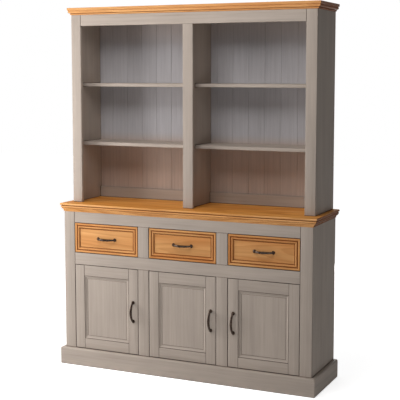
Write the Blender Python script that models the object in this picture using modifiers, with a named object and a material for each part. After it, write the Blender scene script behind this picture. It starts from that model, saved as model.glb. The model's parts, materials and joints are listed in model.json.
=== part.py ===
"""A dresser in two pieces: an open hutch with shelves, on a base with three drawers over three doors.

Metres, +Z up. The floor is z = 0, the middle is x = 0 and the front faces -Y. The origin lies under the
middle of the whole outline, so the back plane and the tips of the handles are equally far from y = 0.
Every board, panel, moulding, drawer part, door part and fitting is an object of its own. Pieces that
touch are a hair apart, and each drawer and each door hangs on an empty that stands on its joint.
"""

import math

import bmesh
import bpy
from mathutils import Matrix, Vector

# The whole dresser
HEIGHT = 2.000
BASE_WIDTH = 1.460
HUTCH_SET_IN = 0.014
HUTCH_DEPTH = 0.307
BASE_DEPTH = 0.3825
WORKTOP_HEIGHT = 0.917

# Boards and joints
BOARD = 0.018
FRAME_THICK = 0.020
EASE = 0.0008
GAP = 0.0003
OVERRUN = 0.006
HOUSING = 0.004
BACK_PANEL = 0.010
BACK_SET_IN = 0.012
BACK_REBATE = 0.009
WELD = 0.00002

# Hutch
HUTCH_STILE = 0.058
FRIEZE_SHOW = 0.060
SHELF_SET_BACK = 0.072
LOWER_SHELF_SHARE = 0.342
UPPER_SHELF_SHARE = 0.678
BACK_RAIL_HEIGHT = 0.060
BACK_RAIL_THICK = 0.013
BACK_BOARDS = 15
V_GROOVE_WIDTH = 0.003
V_GROOVE_DEPTH = 0.0015

# Cornice: the shares give how far out each step of its section stands
CORNICE_HEIGHT = 0.0395
CORNICE_SIDE = 0.020
CORNICE_FRONT = 0.012
CORNICE_FOOT_SHARE = 0.12
CORNICE_COVE_SHARE = 0.72
CORNICE_COVE_RISE_SHARE = 0.46
CORNICE_QUIRK_SHARE = 0.04

# Worktop and the moulding under its nose
WORKTOP_THICK = 0.025
NOSE_SIDE = 0.0225
NOSE_FRONT = 0.0125
NOSE_RADIUS = 0.009
MOULDING_HEIGHT = 0.021
MOULDING_FOOT_SHARE = 0.10
MOULDING_HEAD_SHARE = 0.66
MOULDING_FILLET_SHARE = 0.18

# Face frame of the base
BASE_STILE = 0.065
MULLION = 0.064
TOP_RAIL = 0.0812
DRAWER_OPENING = 0.170
MID_RAIL = 0.0656

# Plinth
PLINTH_HEIGHT = 0.096
PLINTH_SIDE = 0.023
PLINTH_FRONT = 0.019
PLINTH_ROUND = 0.009
PLINTH_ROUND_SHARE = 0.40

# Drawer deck, with the guide strips that stand on it
DECK_THICK = 0.015
GUIDE_HEIGHT = 0.012
GUIDE_CLEAR = 0.003

# Drawers: the front's steps run from its edge to the sunk middle
FACE_SET_BACK = 0.001
LEAF_THICK = 0.019
LEAF_GAP = 0.002
LIP_WIDTH = 0.008
GROOVE_WIDTH = 0.009
GROOVE_SLOPE = 0.002
GROOVE_DEPTH = 0.006
BEAD_WIDTH = 0.007
BEAD_DROP = 0.001
STEP_WIDTH = 0.010
SUNK_DEPTH = 0.007
BOX_WALL = 0.012
BOX_SIDE_CLEAR = 0.0015
BOX_TOP_CLEAR = 0.030
BOX_BACK_CLEAR = 0.030
BOX_BOTTOM = 0.005
BOX_BOTTOM_RAISE = 0.008
BOX_BOTTOM_GROOVE = 0.006

# Doors
DOOR_STILE = 0.061
DOOR_TOP_RAIL = 0.065
DOOR_BOTTOM_RAIL = 0.070
DOOR_BEVEL = 0.010
DOOR_BEVEL_DEPTH = 0.006
DOOR_BEVEL_SHARES = ((1, 0), (0.8, 0.1), (0.45, 0.45), (0.1, 0.8), (0, 1))
DOOR_PANEL = 0.006
DOOR_PANEL_SUNK = 0.009
DOOR_PANEL_LAP = 0.008

# Cup hinges
CUP_RADIUS = 0.0175
CUP_DEPTH = 0.0115
CUP_EDGE = 0.0225
HINGE_END = 0.085
FLANGE_HEIGHT = 0.060
FLANGE_WIDTH = 0.030
FLANGE_THICK = 0.003
ARM_HEIGHT = 0.016
ARM_THICK = 0.011
ARM_REACH = 0.018

# Bow handles
HANDLE_CENTRES = 0.104
HANDLE_REACH = 0.034
BOW_RADIUS = 0.0047
BOW_NECK_SHARE = 0.62
BOW_FULLNESS = 0.75
FOOT_RADIUS = 0.0095
FOOT_HEIGHT = 0.007
FOOT_TOP_SHARE = 0.62
FOOT_RIM_SHARE = 0.45
DOOR_HANDLE_HEIGHT_SHARE = 0.50

# Roundness of the curved pieces
ARC_STEPS = 5
BOW_STEPS = 14
SHARP_ANGLE = math.radians(40)
BOW_SIDES = 3
FOOT_SIDES = 16
CUP_SIDES = 28

# Heights, from the floor up
BAY_TOP = HEIGHT - CORNICE_HEIGHT - FRIEZE_SHOW
HUTCH_CARCASE_TOP = HEIGHT - BOARD
WORKTOP_UNDER = WORKTOP_HEIGHT - WORKTOP_THICK
DRAWER_TOP = WORKTOP_UNDER - TOP_RAIL
DRAWER_FLOOR = DRAWER_TOP - DRAWER_OPENING
DOOR_TOP = DRAWER_FLOOR - MID_RAIL
DOOR_FLOOR = PLINTH_HEIGHT

# Places from front to back
BACK = (BASE_DEPTH + HANDLE_REACH + GAP - FACE_SET_BACK) / 2
HUTCH_FRONT = BACK - HUTCH_DEPTH
HUTCH_INSIDE = HUTCH_FRONT + FRAME_THICK
BASE_FRONT = BACK - BASE_DEPTH
BASE_INSIDE = BASE_FRONT + FRAME_THICK
PANEL_FRONT = BACK - BACK_SET_IN - BACK_PANEL
LEAF_FRONT = BASE_FRONT + FACE_SET_BACK
LEAF_BACK = LEAF_FRONT + LEAF_THICK

# Places across
BASE_HALF = BASE_WIDTH / 2
HUTCH_HALF = BASE_HALF - HUTCH_SET_IN
OPENING = (BASE_WIDTH - 2 * BASE_STILE - 2 * MULLION) / 3
PITCH = OPENING + MULLION
MULLION_CENTRE = PITCH / 2
SIDES = {"left": -1, "right": 1}
SHELVES = {"lower": LOWER_SHELF_SHARE, "upper": UPPER_SHELF_SHARE}
BAYS = {"left": -PITCH, "middle": 0, "right": PITCH}
DOOR_HINGE_SIDES = {"left": -1, "middle": -1, "right": 1}

# Finishes: colour, roughness and metallic value
TAUPE = ("taupe_paint", (0.42, 0.37, 0.32), 0.55, 0.0)
GREY_PANEL = ("grey_stained_boards", (0.33, 0.30, 0.28), 0.60, 0.0)
PINE = ("honey_pine", (0.62, 0.33, 0.11), 0.42, 0.0)
BARE_WOOD = ("bare_wood", (0.62, 0.46, 0.28), 0.65, 0.0)
BRONZE = ("dark_bronze", (0.06, 0.045, 0.035), 0.35, 0.85)
STEEL = ("plated_steel", (0.55, 0.55, 0.56), 0.30, 1.0)


def clear_scene():
    """Removes what the file opened with."""
    for obj in list(bpy.data.objects):
        bpy.data.objects.remove(obj)


def new_collection(name):
    """A collection of this name in the scene."""
    collection = bpy.data.collections.new(name)
    bpy.context.scene.collection.children.link(collection)
    return collection


def paint(obj, finish):
    """Gives a piece its own material of this finish."""
    kind, colour, roughness, metallic = finish
    material = bpy.data.materials.new(f"{obj.name}_{kind}")
    material.use_nodes = True
    shader = material.node_tree.nodes["Principled BSDF"]
    shader.inputs["Base Color"].default_value = (*colour, 1)
    shader.inputs["Roughness"].default_value = roughness
    shader.inputs["Metallic"].default_value = metallic
    obj.data.materials.clear()
    obj.data.materials.append(material)


def carrier(name, place):
    """An empty that carries a group of pieces and stands on their reference point or joint axis."""
    empty = bpy.data.objects.new(name, None)
    empty.location = place
    PARTS.objects.link(empty)
    return empty


def place(name, data, centre, on, finish):
    """Makes a piece from its mesh or curve and hangs it on its carrier."""
    obj = bpy.data.objects.new(name, data)
    obj.parent = on
    obj.location = Vector(centre) - on.location
    PARTS.objects.link(obj)
    paint(obj, finish)
    return obj


def to_mesh(name, bm):
    """Turns a bmesh into mesh data."""
    mesh = bpy.data.meshes.new(name)
    bm.to_mesh(mesh)
    bm.free()
    return mesh


def middle(low, high):
    """The point halfway between two corners."""
    return (Vector(low) + Vector(high)) / 2


def cube(low, high):
    """A bmesh box of the size between two corners, centred on its own origin."""
    bm = bmesh.new()
    size = Vector(high) - Vector(low)
    bmesh.ops.create_cube(bm, size=1, matrix=Matrix.Diagonal((*size, 1)))
    return bm


def board(name, low, high, on, finish, ease=EASE):
    """A board between two corners, with its arrises eased."""
    obj = place(name, to_mesh(name, cube(low, high)), middle(low, high), on, finish)
    bevel = obj.modifiers.new("eased_edges", "BEVEL")
    bevel.width = ease
    bevel.segments = 1
    bevel.limit_method = "NONE"
    return obj


def hide_as_cutter(obj):
    """Keeps a cutting or joining shape out of the model."""
    obj.hide_render = True
    obj.display_type = "WIRE"
    CUTTERS.objects.link(obj)
    return obj


def box_cutter(name, low, high):
    """A box that cuts, between two corners."""
    obj = bpy.data.objects.new(name, to_mesh(name, cube(low, high)))
    obj.location = middle(low, high)
    return hide_as_cutter(obj)


def combine(obj, other, operation="DIFFERENCE"):
    """Cuts the other shape from a piece, or joins it on."""
    boolean = obj.modifiers.new(other.name, "BOOLEAN")
    boolean.operation = operation
    boolean.solver = "EXACT"
    boolean.object = other


def loft(sections, origin):
    """A closed bmesh through sections of as many points each, in coordinates from the origin given."""
    bm = bmesh.new()
    rings = [[bm.verts.new(Vector(point) - Vector(origin)) for point in section] for section in sections]
    for ring, following in zip(rings, rings[1:]):
        for i, vert in enumerate(ring):
            bm.faces.new((ring[i - 1], vert, following[i], following[i - 1]))
    bm.faces.new(rings[0])
    bm.faces.new(rings[-1])
    bmesh.ops.recalc_face_normals(bm, faces=bm.faces)
    return bm


def wrapped_moulding(name, profile, half, front, side_out, front_out, on, finish):
    """A mitred moulding round both sides and the front of a carcase.

    The profile lists (share of the overhang, height). The sides overhang by side_out and the front by
    front_out, so the two runs meet in a mitre that both sections share.
    """
    corners = ((-1, 0), (-1, 1), (1, 1), (1, 0))
    sections = []
    for side, at_front in corners:
        section = []
        for share, z in profile:
            y = front - GAP - share * front_out if at_front else BACK
            section.append((side * (half + GAP + share * side_out), y, z))
        sections.append(section)
    origin = (0, front, profile[0][1])
    return place(name, to_mesh(name, loft(sections, origin)), origin, on, finish)


def outline_slab(name, outline, low_z, high_z, on, finish):
    """A flat piece with this outline, from one height to the other."""
    x, y = outline[0]
    origin = Vector((x, y, (low_z + high_z) / 2))
    curve = bpy.data.curves.new(name, "CURVE")
    curve.dimensions = "2D"
    curve.fill_mode = "BOTH"
    curve.extrude = (high_z - low_z) / 2
    spline = curve.splines.new("POLY")
    spline.points.add(len(outline) - 1)
    for point, (px, py) in zip(spline.points, outline):
        point.co = (px - x, py - y, 0, 1)
    spline.use_cyclic_u = True
    return place(name, curve, origin, on, finish)


def cove(start_share, end_share, low_z, high_z):
    """A hollow quarter round that leaves upright and ends level, as (share, height) points."""
    points = []
    for i in range(ARC_STEPS + 1):
        turn = math.pi / 2 * i / ARC_STEPS
        share = start_share + (end_share - start_share) * (1 - math.cos(turn))
        points.append((share, low_z + (high_z - low_z) * math.sin(turn)))
    return points


def ogee(start_share, end_share, low_z, high_z):
    """An S curve that leaves and ends upright, as (share, height) points."""
    points = []
    for i in range(2 * ARC_STEPS + 1):
        along = i / (2 * ARC_STEPS)
        share = start_share + (end_share - start_share) * (1 - math.cos(math.pi * along)) / 2
        points.append((share, low_z + (high_z - low_z) * along))
    return points


def rounded_top(low_share, high_z, drop):
    """The last quarter of a section, turning from upright at the outside to level on top."""
    points = []
    for i in range(ARC_STEPS + 1):
        turn = math.pi / 2 * i / ARC_STEPS
        share = 1 - (1 - low_share) * (1 - math.cos(turn))
        points.append((share, high_z - drop * (1 - math.sin(turn))))
    return points


def make_hutch_carcase(on):
    """Sides, divider, top, back and the rail at the foot of the back."""
    foot = WORKTOP_HEIGHT + GAP
    top = HUTCH_CARCASE_TOP - GAP
    panel_half = HUTCH_HALF - BOARD + BACK_REBATE - GAP
    rebate = box_cutter(
        "hutch_back_rebate",
        (-panel_half - GAP, PANEL_FRONT - GAP, foot - OVERRUN),
        (panel_half + GAP, BACK + OVERRUN, top + OVERRUN),
    )
    uprights = {}
    for side, sign in SIDES.items():
        outer, inner = sign * HUTCH_HALF, sign * (HUTCH_HALF - BOARD)
        low = (min(outer, inner), HUTCH_INSIDE + GAP, foot)
        high = (max(outer, inner), BACK, top)
        uprights[side] = board(f"hutch_side_{side}", low, high, on, TAUPE)
        combine(uprights[side], rebate)
    low = (-BOARD / 2, HUTCH_INSIDE + GAP, foot)
    high = (BOARD / 2, PANEL_FRONT - GAP, top)
    uprights["divider"] = board("hutch_divider", low, high, on, TAUPE)

    rail_half = HUTCH_HALF - BOARD - GAP
    rail_low = Vector((-rail_half, PANEL_FRONT - GAP - BACK_RAIL_THICK, foot))
    rail_high = Vector((rail_half, PANEL_FRONT - GAP, foot + BACK_RAIL_HEIGHT))
    board("hutch_back_rail", rail_low, rail_high, on, TAUPE)
    around = Vector((GAP, GAP, GAP))
    past = Vector((0, OVERRUN, 0))
    below = Vector((0, 0, OVERRUN))
    notch = box_cutter("back_rail_notch", rail_low - around - below, rail_high + around + past)
    combine(uprights["divider"], notch)

    low = (-HUTCH_HALF, HUTCH_FRONT, HUTCH_CARCASE_TOP)
    board("hutch_top_board", low, (HUTCH_HALF, BACK, HEIGHT), on, TAUPE)
    outline_slab("hutch_back_panel", grooved_outline(panel_half), foot, top, on, GREY_PANEL)
    return uprights


def grooved_outline(half):
    """The back panel seen from above: a V between each two boards in front, and a flat back."""
    outline = [(-half, PANEL_FRONT + BACK_PANEL), (-half, PANEL_FRONT)]
    for i in range(1, BACK_BOARDS):
        x = half * (2 * i / BACK_BOARDS - 1)
        outline.append((x - V_GROOVE_WIDTH / 2, PANEL_FRONT))
        outline.append((x, PANEL_FRONT + V_GROOVE_DEPTH))
        outline.append((x + V_GROOVE_WIDTH / 2, PANEL_FRONT))
    outline.append((half, PANEL_FRONT))
    outline.append((half, PANEL_FRONT + BACK_PANEL))
    return outline


def make_hutch_shelves(on, uprights):
    """Four shelves, each with its ends housed in a side and in the divider."""
    for level, share in SHELVES.items():
        top = WORKTOP_HEIGHT + share * (BAY_TOP - WORKTOP_HEIGHT)
        for side, sign in SIDES.items():
            near = BOARD / 2 - HOUSING + GAP
            far = HUTCH_HALF - BOARD + HOUSING - GAP
            low = Vector((min(sign * near, sign * far), HUTCH_FRONT + SHELF_SET_BACK, top - BOARD))
            high = Vector((max(sign * near, sign * far), PANEL_FRONT - GAP, top))
            name = f"hutch_shelf_{level}_{side}"
            board(name, low, high, on, TAUPE)
            around = Vector((GAP, GAP, GAP))
            past = Vector((0, OVERRUN, 0))
            housing = box_cutter(f"{name}_housing", low - around, high + around + past)
            combine(uprights[side], housing)
            combine(uprights["divider"], housing)


def make_hutch_frame(on):
    """The face frame of the hutch and the cornice over it."""
    foot = WORKTOP_HEIGHT + GAP
    top = HUTCH_CARCASE_TOP - GAP
    for side, sign in SIDES.items():
        outer, inner = sign * HUTCH_HALF, sign * (HUTCH_HALF - HUTCH_STILE)
        low = (min(outer, inner), HUTCH_FRONT, foot)
        board(f"hutch_stile_{side}", low, (max(outer, inner), HUTCH_INSIDE, top), on, TAUPE)
    half = HUTCH_STILE / 2
    low = (-half, HUTCH_FRONT, foot)
    board("hutch_stile_centre", low, (half, HUTCH_INSIDE, BAY_TOP - GAP), on, TAUPE)
    half = HUTCH_HALF - HUTCH_STILE - GAP
    low = (-half, HUTCH_FRONT, BAY_TOP)
    board("hutch_frieze_rail", low, (half, HUTCH_INSIDE, top), on, TAUPE)

    foot = HEIGHT - CORNICE_HEIGHT
    cove_top = foot + CORNICE_COVE_RISE_SHARE * CORNICE_HEIGHT
    quirk_top = cove_top + CORNICE_QUIRK_SHARE * CORNICE_HEIGHT
    profile = [(0, foot)]
    profile += cove(CORNICE_FOOT_SHARE, CORNICE_COVE_SHARE, foot, cove_top)
    profile += [(CORNICE_COVE_SHARE, quirk_top), (1, quirk_top), (1, HEIGHT - EASE)]
    profile += [(1 - EASE / CORNICE_SIDE, HEIGHT), (0, HEIGHT)]
    wrapped_moulding(
        "cornice", profile, HUTCH_HALF, HUTCH_FRONT, CORNICE_SIDE, CORNICE_FRONT, on, PINE
    )


def make_worktop(on):
    """The board with its rounded nose, and the moulding under it."""
    low = (-BASE_HALF - NOSE_SIDE, BASE_FRONT - NOSE_FRONT, WORKTOP_UNDER)
    high = (BASE_HALF + NOSE_SIDE, BACK, WORKTOP_HEIGHT)
    bm = cube(low, high)
    half_depth = (high[1] - low[1]) / 2
    nose = []
    for edge in bm.edges:
        ends = [vert.co for vert in edge.verts]
        upright = abs(ends[0].z - ends[1].z) > WELD
        at_back = min(end.y for end in ends) > half_depth - WELD
        if not upright and not at_back:
            nose.append(edge)
    bmesh.ops.bevel(
        bm, geom=nose, offset=NOSE_RADIUS, segments=ARC_STEPS, profile=0.5, affect="EDGES"
    )
    place("worktop", to_mesh("worktop", bm), middle(low, high), on, PINE)

    top = WORKTOP_UNDER - GAP
    foot = top - MOULDING_HEIGHT
    fillet = top - MOULDING_FILLET_SHARE * MOULDING_HEIGHT
    profile = [(0, foot)]
    profile += ogee(MOULDING_FOOT_SHARE, MOULDING_HEAD_SHARE, foot, fillet)
    profile += [(MOULDING_HEAD_SHARE, top), (0, top)]
    wrapped_moulding(
        "worktop_moulding", profile, BASE_HALF, BASE_FRONT, NOSE_SIDE, NOSE_FRONT, on, PINE
    )


def make_base_frame(on):
    """Stiles, rails and mullions of the base, and the plinth round its foot."""
    top = WORKTOP_UNDER - GAP
    for side, sign in SIDES.items():
        outer, inner = sign * BASE_HALF, sign * (BASE_HALF - BASE_STILE)
        low = (min(outer, inner), BASE_FRONT, 0)
        board(f"base_stile_{side}", low, (max(outer, inner), BASE_INSIDE, top), on, TAUPE)
        near, far = sign * MULLION_CENTRE - MULLION / 2, sign * MULLION_CENTRE + MULLION / 2
        for name, foot, head in (
            ("drawer_mullion", DRAWER_FLOOR, DRAWER_TOP),
            ("door_mullion", DOOR_FLOOR, DOOR_TOP),
        ):
            low = (near, BASE_FRONT, foot + GAP)
            board(f"{name}_{side}", low, (far, BASE_INSIDE, head - GAP), on, TAUPE)
    half = BASE_HALF - BASE_STILE - GAP
    low = (-half, BASE_FRONT, DRAWER_TOP)
    board("base_top_rail", low, (half, BASE_INSIDE, top), on, TAUPE)
    low = (-half, BASE_FRONT, DOOR_TOP)
    board("base_mid_rail", low, (half, BASE_INSIDE, DRAWER_FLOOR), on, TAUPE)

    profile = [(0, 0), (1, 0)]
    profile += rounded_top(1 - PLINTH_ROUND_SHARE, PLINTH_HEIGHT, PLINTH_ROUND)
    profile += [(0, PLINTH_HEIGHT)]
    wrapped_moulding("plinth", profile, BASE_HALF, BASE_FRONT, PLINTH_SIDE, PLINTH_FRONT, on, TAUPE)


def make_base_carcase(on):
    """Sides, partitions, bottom, back and the deck that the drawers run on."""
    top = WORKTOP_UNDER - GAP
    inside = BASE_HALF - BOARD
    panel_half = inside + BACK_REBATE - GAP
    bottom_under = PLINTH_HEIGHT - BOARD
    rebate = box_cutter(
        "base_back_rebate",
        (-panel_half - GAP, PANEL_FRONT - GAP, -OVERRUN),
        (panel_half + GAP, BACK + OVERRUN, top + OVERRUN),
    )
    for side, sign in SIDES.items():
        outer, inner = sign * BASE_HALF, sign * inside
        low = (min(outer, inner), BASE_INSIDE + GAP, 0)
        obj = board(f"base_side_{side}", low, (max(outer, inner), BACK, top), on, TAUPE)
        combine(obj, rebate)
    low = (-panel_half, PANEL_FRONT, bottom_under)
    board("base_back_panel", low, (panel_half, PANEL_FRONT + BACK_PANEL, top), on, GREY_PANEL)

    wide, narrow = inside - GAP, BASE_HALF - BASE_STILE - GAP
    behind, back = BASE_INSIDE + GAP, PANEL_FRONT - GAP
    outline = [(-wide, back), (-wide, behind), (-narrow, behind), (-narrow, BASE_FRONT)]
    outline += [(-x, y) for x, y in reversed(outline)]
    outline_slab("base_bottom_panel", outline, bottom_under, PLINTH_HEIGHT, on, TAUPE)

    deck_low = (-wide, behind, DRAWER_FLOOR - DECK_THICK)
    deck = board("drawer_deck", deck_low, (wide, back, DRAWER_FLOOR), on, BARE_WOOD)
    crossing = (behind + back) / 2
    for side, sign in SIDES.items():
        x = sign * MULLION_CENTRE
        low = (x - BOARD / 2, behind, PLINTH_HEIGHT + GAP)
        obj = board(f"base_partition_{side}", low, (x + BOARD / 2, back, top), on, TAUPE)
        slot_low = (x - BOARD / 2 - OVERRUN, behind - OVERRUN, DRAWER_FLOOR - DECK_THICK - GAP)
        slot_high = (x + BOARD / 2 + OVERRUN, crossing + GAP, DRAWER_FLOOR + GAP)
        combine(obj, box_cutter(f"base_partition_{side}_slot", slot_low, slot_high))
        slot_low = (x - BOARD / 2 - GAP, crossing, DRAWER_FLOOR - DECK_THICK - OVERRUN)
        slot_high = (x + BOARD / 2 + GAP, back + OVERRUN, DRAWER_FLOOR + OVERRUN)
        combine(deck, box_cutter(f"drawer_deck_{side}_slot", slot_low, slot_high))
    add_drawer_guides(deck, behind, back)


def add_drawer_guides(deck, front, back):
    """Strips on the deck beside each drawer, which keep it straight as it slides."""
    width = (MULLION - BOARD) / 2 - GUIDE_CLEAR
    for bay, centre in BAYS.items():
        for side, sign in SIDES.items():
            near = centre + sign * OPENING / 2
            far = near + sign * width
            low = (min(near, far), front + GUIDE_CLEAR, DRAWER_FLOOR - DECK_THICK / 2)
            high = (max(near, far), back - GUIDE_CLEAR, DRAWER_FLOOR + GUIDE_HEIGHT)
            combine(deck, box_cutter(f"drawer_guide_{bay}_{side}", low, high), "UNION")


def make_drawer(bay, centre, handle):
    """One drawer: a stepped front, a four-walled box, its bottom panel and its handle."""
    on = carrier(f"drawer_{bay}", (centre, LEAF_FRONT, DRAWER_FLOOR))
    half = OPENING / 2 - LEAF_GAP
    low = (centre - half, LEAF_FRONT, DRAWER_FLOOR + LEAF_GAP)
    high = (centre + half, LEAF_BACK, DRAWER_TOP - LEAF_GAP)
    bm = cube(low, high)
    bm.normal_update()
    face = min(bm.faces, key=lambda f: f.calc_center_median().y)
    steps = (
        (LIP_WIDTH, 0),
        (GROOVE_SLOPE, -GROOVE_DEPTH),
        (GROOVE_WIDTH - 2 * GROOVE_SLOPE, 0),
        (GROOVE_SLOPE, GROOVE_DEPTH - BEAD_DROP),
        (BEAD_WIDTH, 0),
        (STEP_WIDTH, BEAD_DROP - SUNK_DEPTH),
    )
    for width, rise in steps:
        bmesh.ops.inset_individual(bm, faces=[face], thickness=width, depth=rise)
    name = f"drawer_front_{bay}"
    place(name, to_mesh(name, bm), middle(low, high), on, PINE)

    half = OPENING / 2 - BOX_SIDE_CLEAR
    box_low = Vector((centre - half, LEAF_BACK + GAP, DRAWER_FLOOR + GAP))
    box_high = Vector((centre + half, PANEL_FRONT - BOX_BACK_CLEAR, DRAWER_TOP - BOX_TOP_CLEAR))
    box = board(f"drawer_box_{bay}", box_low, box_high, on, BARE_WOOD)
    wall = Vector((BOX_WALL, BOX_WALL, 0))
    past = Vector((0, 0, OVERRUN))
    hollow = box_cutter(f"drawer_box_{bay}_hollow", box_low + wall - past, box_high - wall + past)
    combine(box, hollow)
    inset = Vector((BOX_WALL - BOX_BOTTOM_GROOVE, BOX_WALL - BOX_BOTTOM_GROOVE, 0))
    low = box_low + inset
    high = box_high - inset
    low.z = box_low.z + BOX_BOTTOM_RAISE
    high.z = low.z + BOX_BOTTOM
    around = Vector((GAP, GAP, GAP))
    combine(box, box_cutter(f"drawer_box_{bay}_groove", low - around, high + around))
    board(f"drawer_bottom_{bay}", low, high, on, BARE_WOOD)

    spot = (centre, LEAF_FRONT + SUNK_DEPTH - GAP, (DRAWER_FLOOR + DRAWER_TOP) / 2)
    hang_handle(f"handle_drawer_{bay}", handle, spot, on, upright=False)


def rectangle(low_x, high_x, low_z, high_z, y, grow):
    """The four corners of an upright rectangle at y, made larger all round by grow."""
    left, right = low_x - grow, high_x + grow
    foot, head = low_z - grow, high_z + grow
    return [(left, y, foot), (right, y, foot), (right, y, head), (left, y, head)]


def make_door(bay, centre, handle):
    """One door: a frame with a moulded opening, a sunk panel, two cup hinges and a handle."""
    hinge_side = DOOR_HINGE_SIDES[bay]
    half = OPENING / 2 - LEAF_GAP
    edge = centre + hinge_side * half
    on = carrier(f"door_{bay}", (edge, LEAF_FRONT, DOOR_FLOOR + LEAF_GAP))
    foot, head = DOOR_FLOOR + LEAF_GAP, DOOR_TOP - LEAF_GAP
    left, right = centre - half, centre + half
    low, high = (left, LEAF_FRONT, foot), (right, LEAF_BACK, head)
    frame = board(f"door_frame_{bay}", low, high, on, TAUPE)

    light = (left + DOOR_STILE, right - DOOR_STILE, foot + DOOR_BOTTOM_RAIL, head - DOOR_TOP_RAIL)
    sections = []
    for share_out, share_in in DOOR_BEVEL_SHARES:
        y = LEAF_FRONT + DOOR_BEVEL_DEPTH * share_in
        sections.append(rectangle(*light, y, DOOR_BEVEL * share_out))
    sections.insert(0, rectangle(*light, LEAF_FRONT - OVERRUN, DOOR_BEVEL))
    sections.append(rectangle(*light, LEAF_BACK + OVERRUN, 0))
    origin = (centre, LEAF_FRONT, foot)
    opening = bpy.data.objects.new(
        f"door_frame_{bay}_opening", to_mesh("door_opening", loft(sections, origin))
    )
    opening.location = origin
    combine(frame, hide_as_cutter(opening))

    lap = DOOR_PANEL_LAP
    shoulder = LEAF_FRONT + DOOR_PANEL_SUNK
    low = Vector((light[0] - lap, shoulder, light[2] - lap))
    high = Vector((light[1] + lap, shoulder + DOOR_PANEL, light[3] + lap))
    around = Vector((GAP, GAP, GAP))
    past = Vector((0, LEAF_THICK, 0))
    combine(frame, box_cutter(f"door_frame_{bay}_rebate", low - around, high + around + past))
    board(f"door_panel_{bay}", low, high, on, TAUPE)

    for end, z in (("lower", foot + HINGE_END), ("upper", head - HINGE_END)):
        make_hinge(f"door_hinge_{bay}_{end}", edge, -hinge_side, z, on, frame)

    x = centre - hinge_side * (half - DOOR_STILE / 2)
    z = foot + DOOR_HANDLE_HEIGHT_SHARE * (head - foot)
    hang_handle(f"handle_door_{bay}", handle, (x, LEAF_FRONT - GAP, z), on, upright=True)


def make_hinge(name, edge, inward, z, on, frame):
    """A cup let into the back of the door, its flange, and the arm that reaches behind the stile."""
    x = edge + inward * CUP_EDGE
    back = LEAF_BACK + GAP
    bore = cup(f"{name}_bore", CUP_RADIUS, x, z, LEAF_BACK - CUP_DEPTH - GAP, back + OVERRUN)
    combine(frame, bore)
    low = (x - FLANGE_WIDTH / 2, back + GAP, z - FLANGE_HEIGHT / 2)
    high = (x + FLANGE_WIDTH / 2, back + FLANGE_THICK, z + FLANGE_HEIGHT / 2)
    hinge = board(name, low, high, on, STEEL)
    inner = LEAF_BACK - CUP_DEPTH
    body = cup(f"{name}_cup", CUP_RADIUS - GAP, x, z, inner, back + FLANGE_THICK / 2)
    combine(hinge, body, "UNION")
    tip = edge - inward * ARM_REACH
    low = (min(x, tip), back, z - ARM_HEIGHT / 2)
    high = (max(x, tip), back + ARM_THICK, z + ARM_HEIGHT / 2)
    combine(hinge, box_cutter(f"{name}_arm", low, high), "UNION")


def cup(name, radius, x, z, front, back):
    """A cylinder along Y between two depths, as a helper shape."""
    bm = bmesh.new()
    bmesh.ops.create_cone(
        bm,
        cap_ends=True,
        segments=CUP_SIDES,
        radius1=radius,
        radius2=radius,
        depth=back - front,
        matrix=Matrix.Rotation(math.pi / 2, 4, "X"),
    )
    obj = bpy.data.objects.new(name, to_mesh(name, bm))
    obj.location = (x, (front + back) / 2, z)
    return hide_as_cutter(obj)


def handle_mesh():
    """A bow handle lying along X, its feet on y = 0 and its bow towards -Y."""
    curve = bpy.data.curves.new("bow", "CURVE")
    curve.dimensions = "3D"
    curve.bevel_depth = BOW_RADIUS
    curve.bevel_resolution = BOW_SIDES
    curve.use_fill_caps = True
    spline = curve.splines.new("POLY")
    spline.points.add(BOW_STEPS)
    out = HANDLE_REACH - BOW_RADIUS
    start = FOOT_HEIGHT / 2
    for i, point in enumerate(spline.points):
        along = i / BOW_STEPS
        arch = math.sin(math.pi * along)
        y = -start - (out - start) * arch**BOW_FULLNESS
        point.co = (HANDLE_CENTRES * (along - 0.5), y, 0, 1)
        point.radius = BOW_NECK_SHARE + (1 - BOW_NECK_SHARE) * arch**2
    bow = bpy.data.objects.new("bow", curve)
    PARTS.objects.link(bow)
    joined = bpy.data.objects.new("handle", welded_mesh(bow))
    bpy.data.objects.remove(bow)
    PARTS.objects.link(joined)
    feet = [make_foot(sign * HANDLE_CENTRES / 2) for sign in (-1, 1)]
    for foot in feet:
        combine(joined, foot, "UNION")
    mesh = welded_mesh(joined)
    for obj in (joined, *feet):
        bpy.data.objects.remove(obj)
    mesh.shade_smooth()
    mesh.set_sharp_from_angle(angle=SHARP_ANGLE)
    return mesh


def make_foot(x):
    """The turned foot of a handle, wide against the wood and rounded off in front."""
    bm = bmesh.new()
    rim = FOOT_HEIGHT * FOOT_RIM_SHARE
    stages = ((1, 1, 0, rim), (1, FOOT_TOP_SHARE, rim, FOOT_HEIGHT))
    lying = Matrix.Rotation(math.pi / 2, 4, "X")
    for wide, narrow, near, far in stages:
        bmesh.ops.create_cone(
            bm,
            cap_ends=True,
            segments=FOOT_SIDES,
            radius1=FOOT_RADIUS * wide,
            radius2=FOOT_RADIUS * narrow,
            depth=far - near,
            matrix=Matrix.Translation((0, -(near + far) / 2, 0)) @ lying,
        )
    bmesh.ops.remove_doubles(bm, verts=bm.verts, dist=WELD)
    inside = [face for face in bm.faces if abs(face.calc_center_median().y + rim) < WELD]
    bmesh.ops.delete(bm, geom=inside, context="FACES_ONLY")
    bmesh.ops.recalc_face_normals(bm, faces=bm.faces)
    obj = bpy.data.objects.new("handle_foot", to_mesh("handle_foot", bm))
    obj.location = (x, 0, 0)
    return hide_as_cutter(obj)


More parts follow.
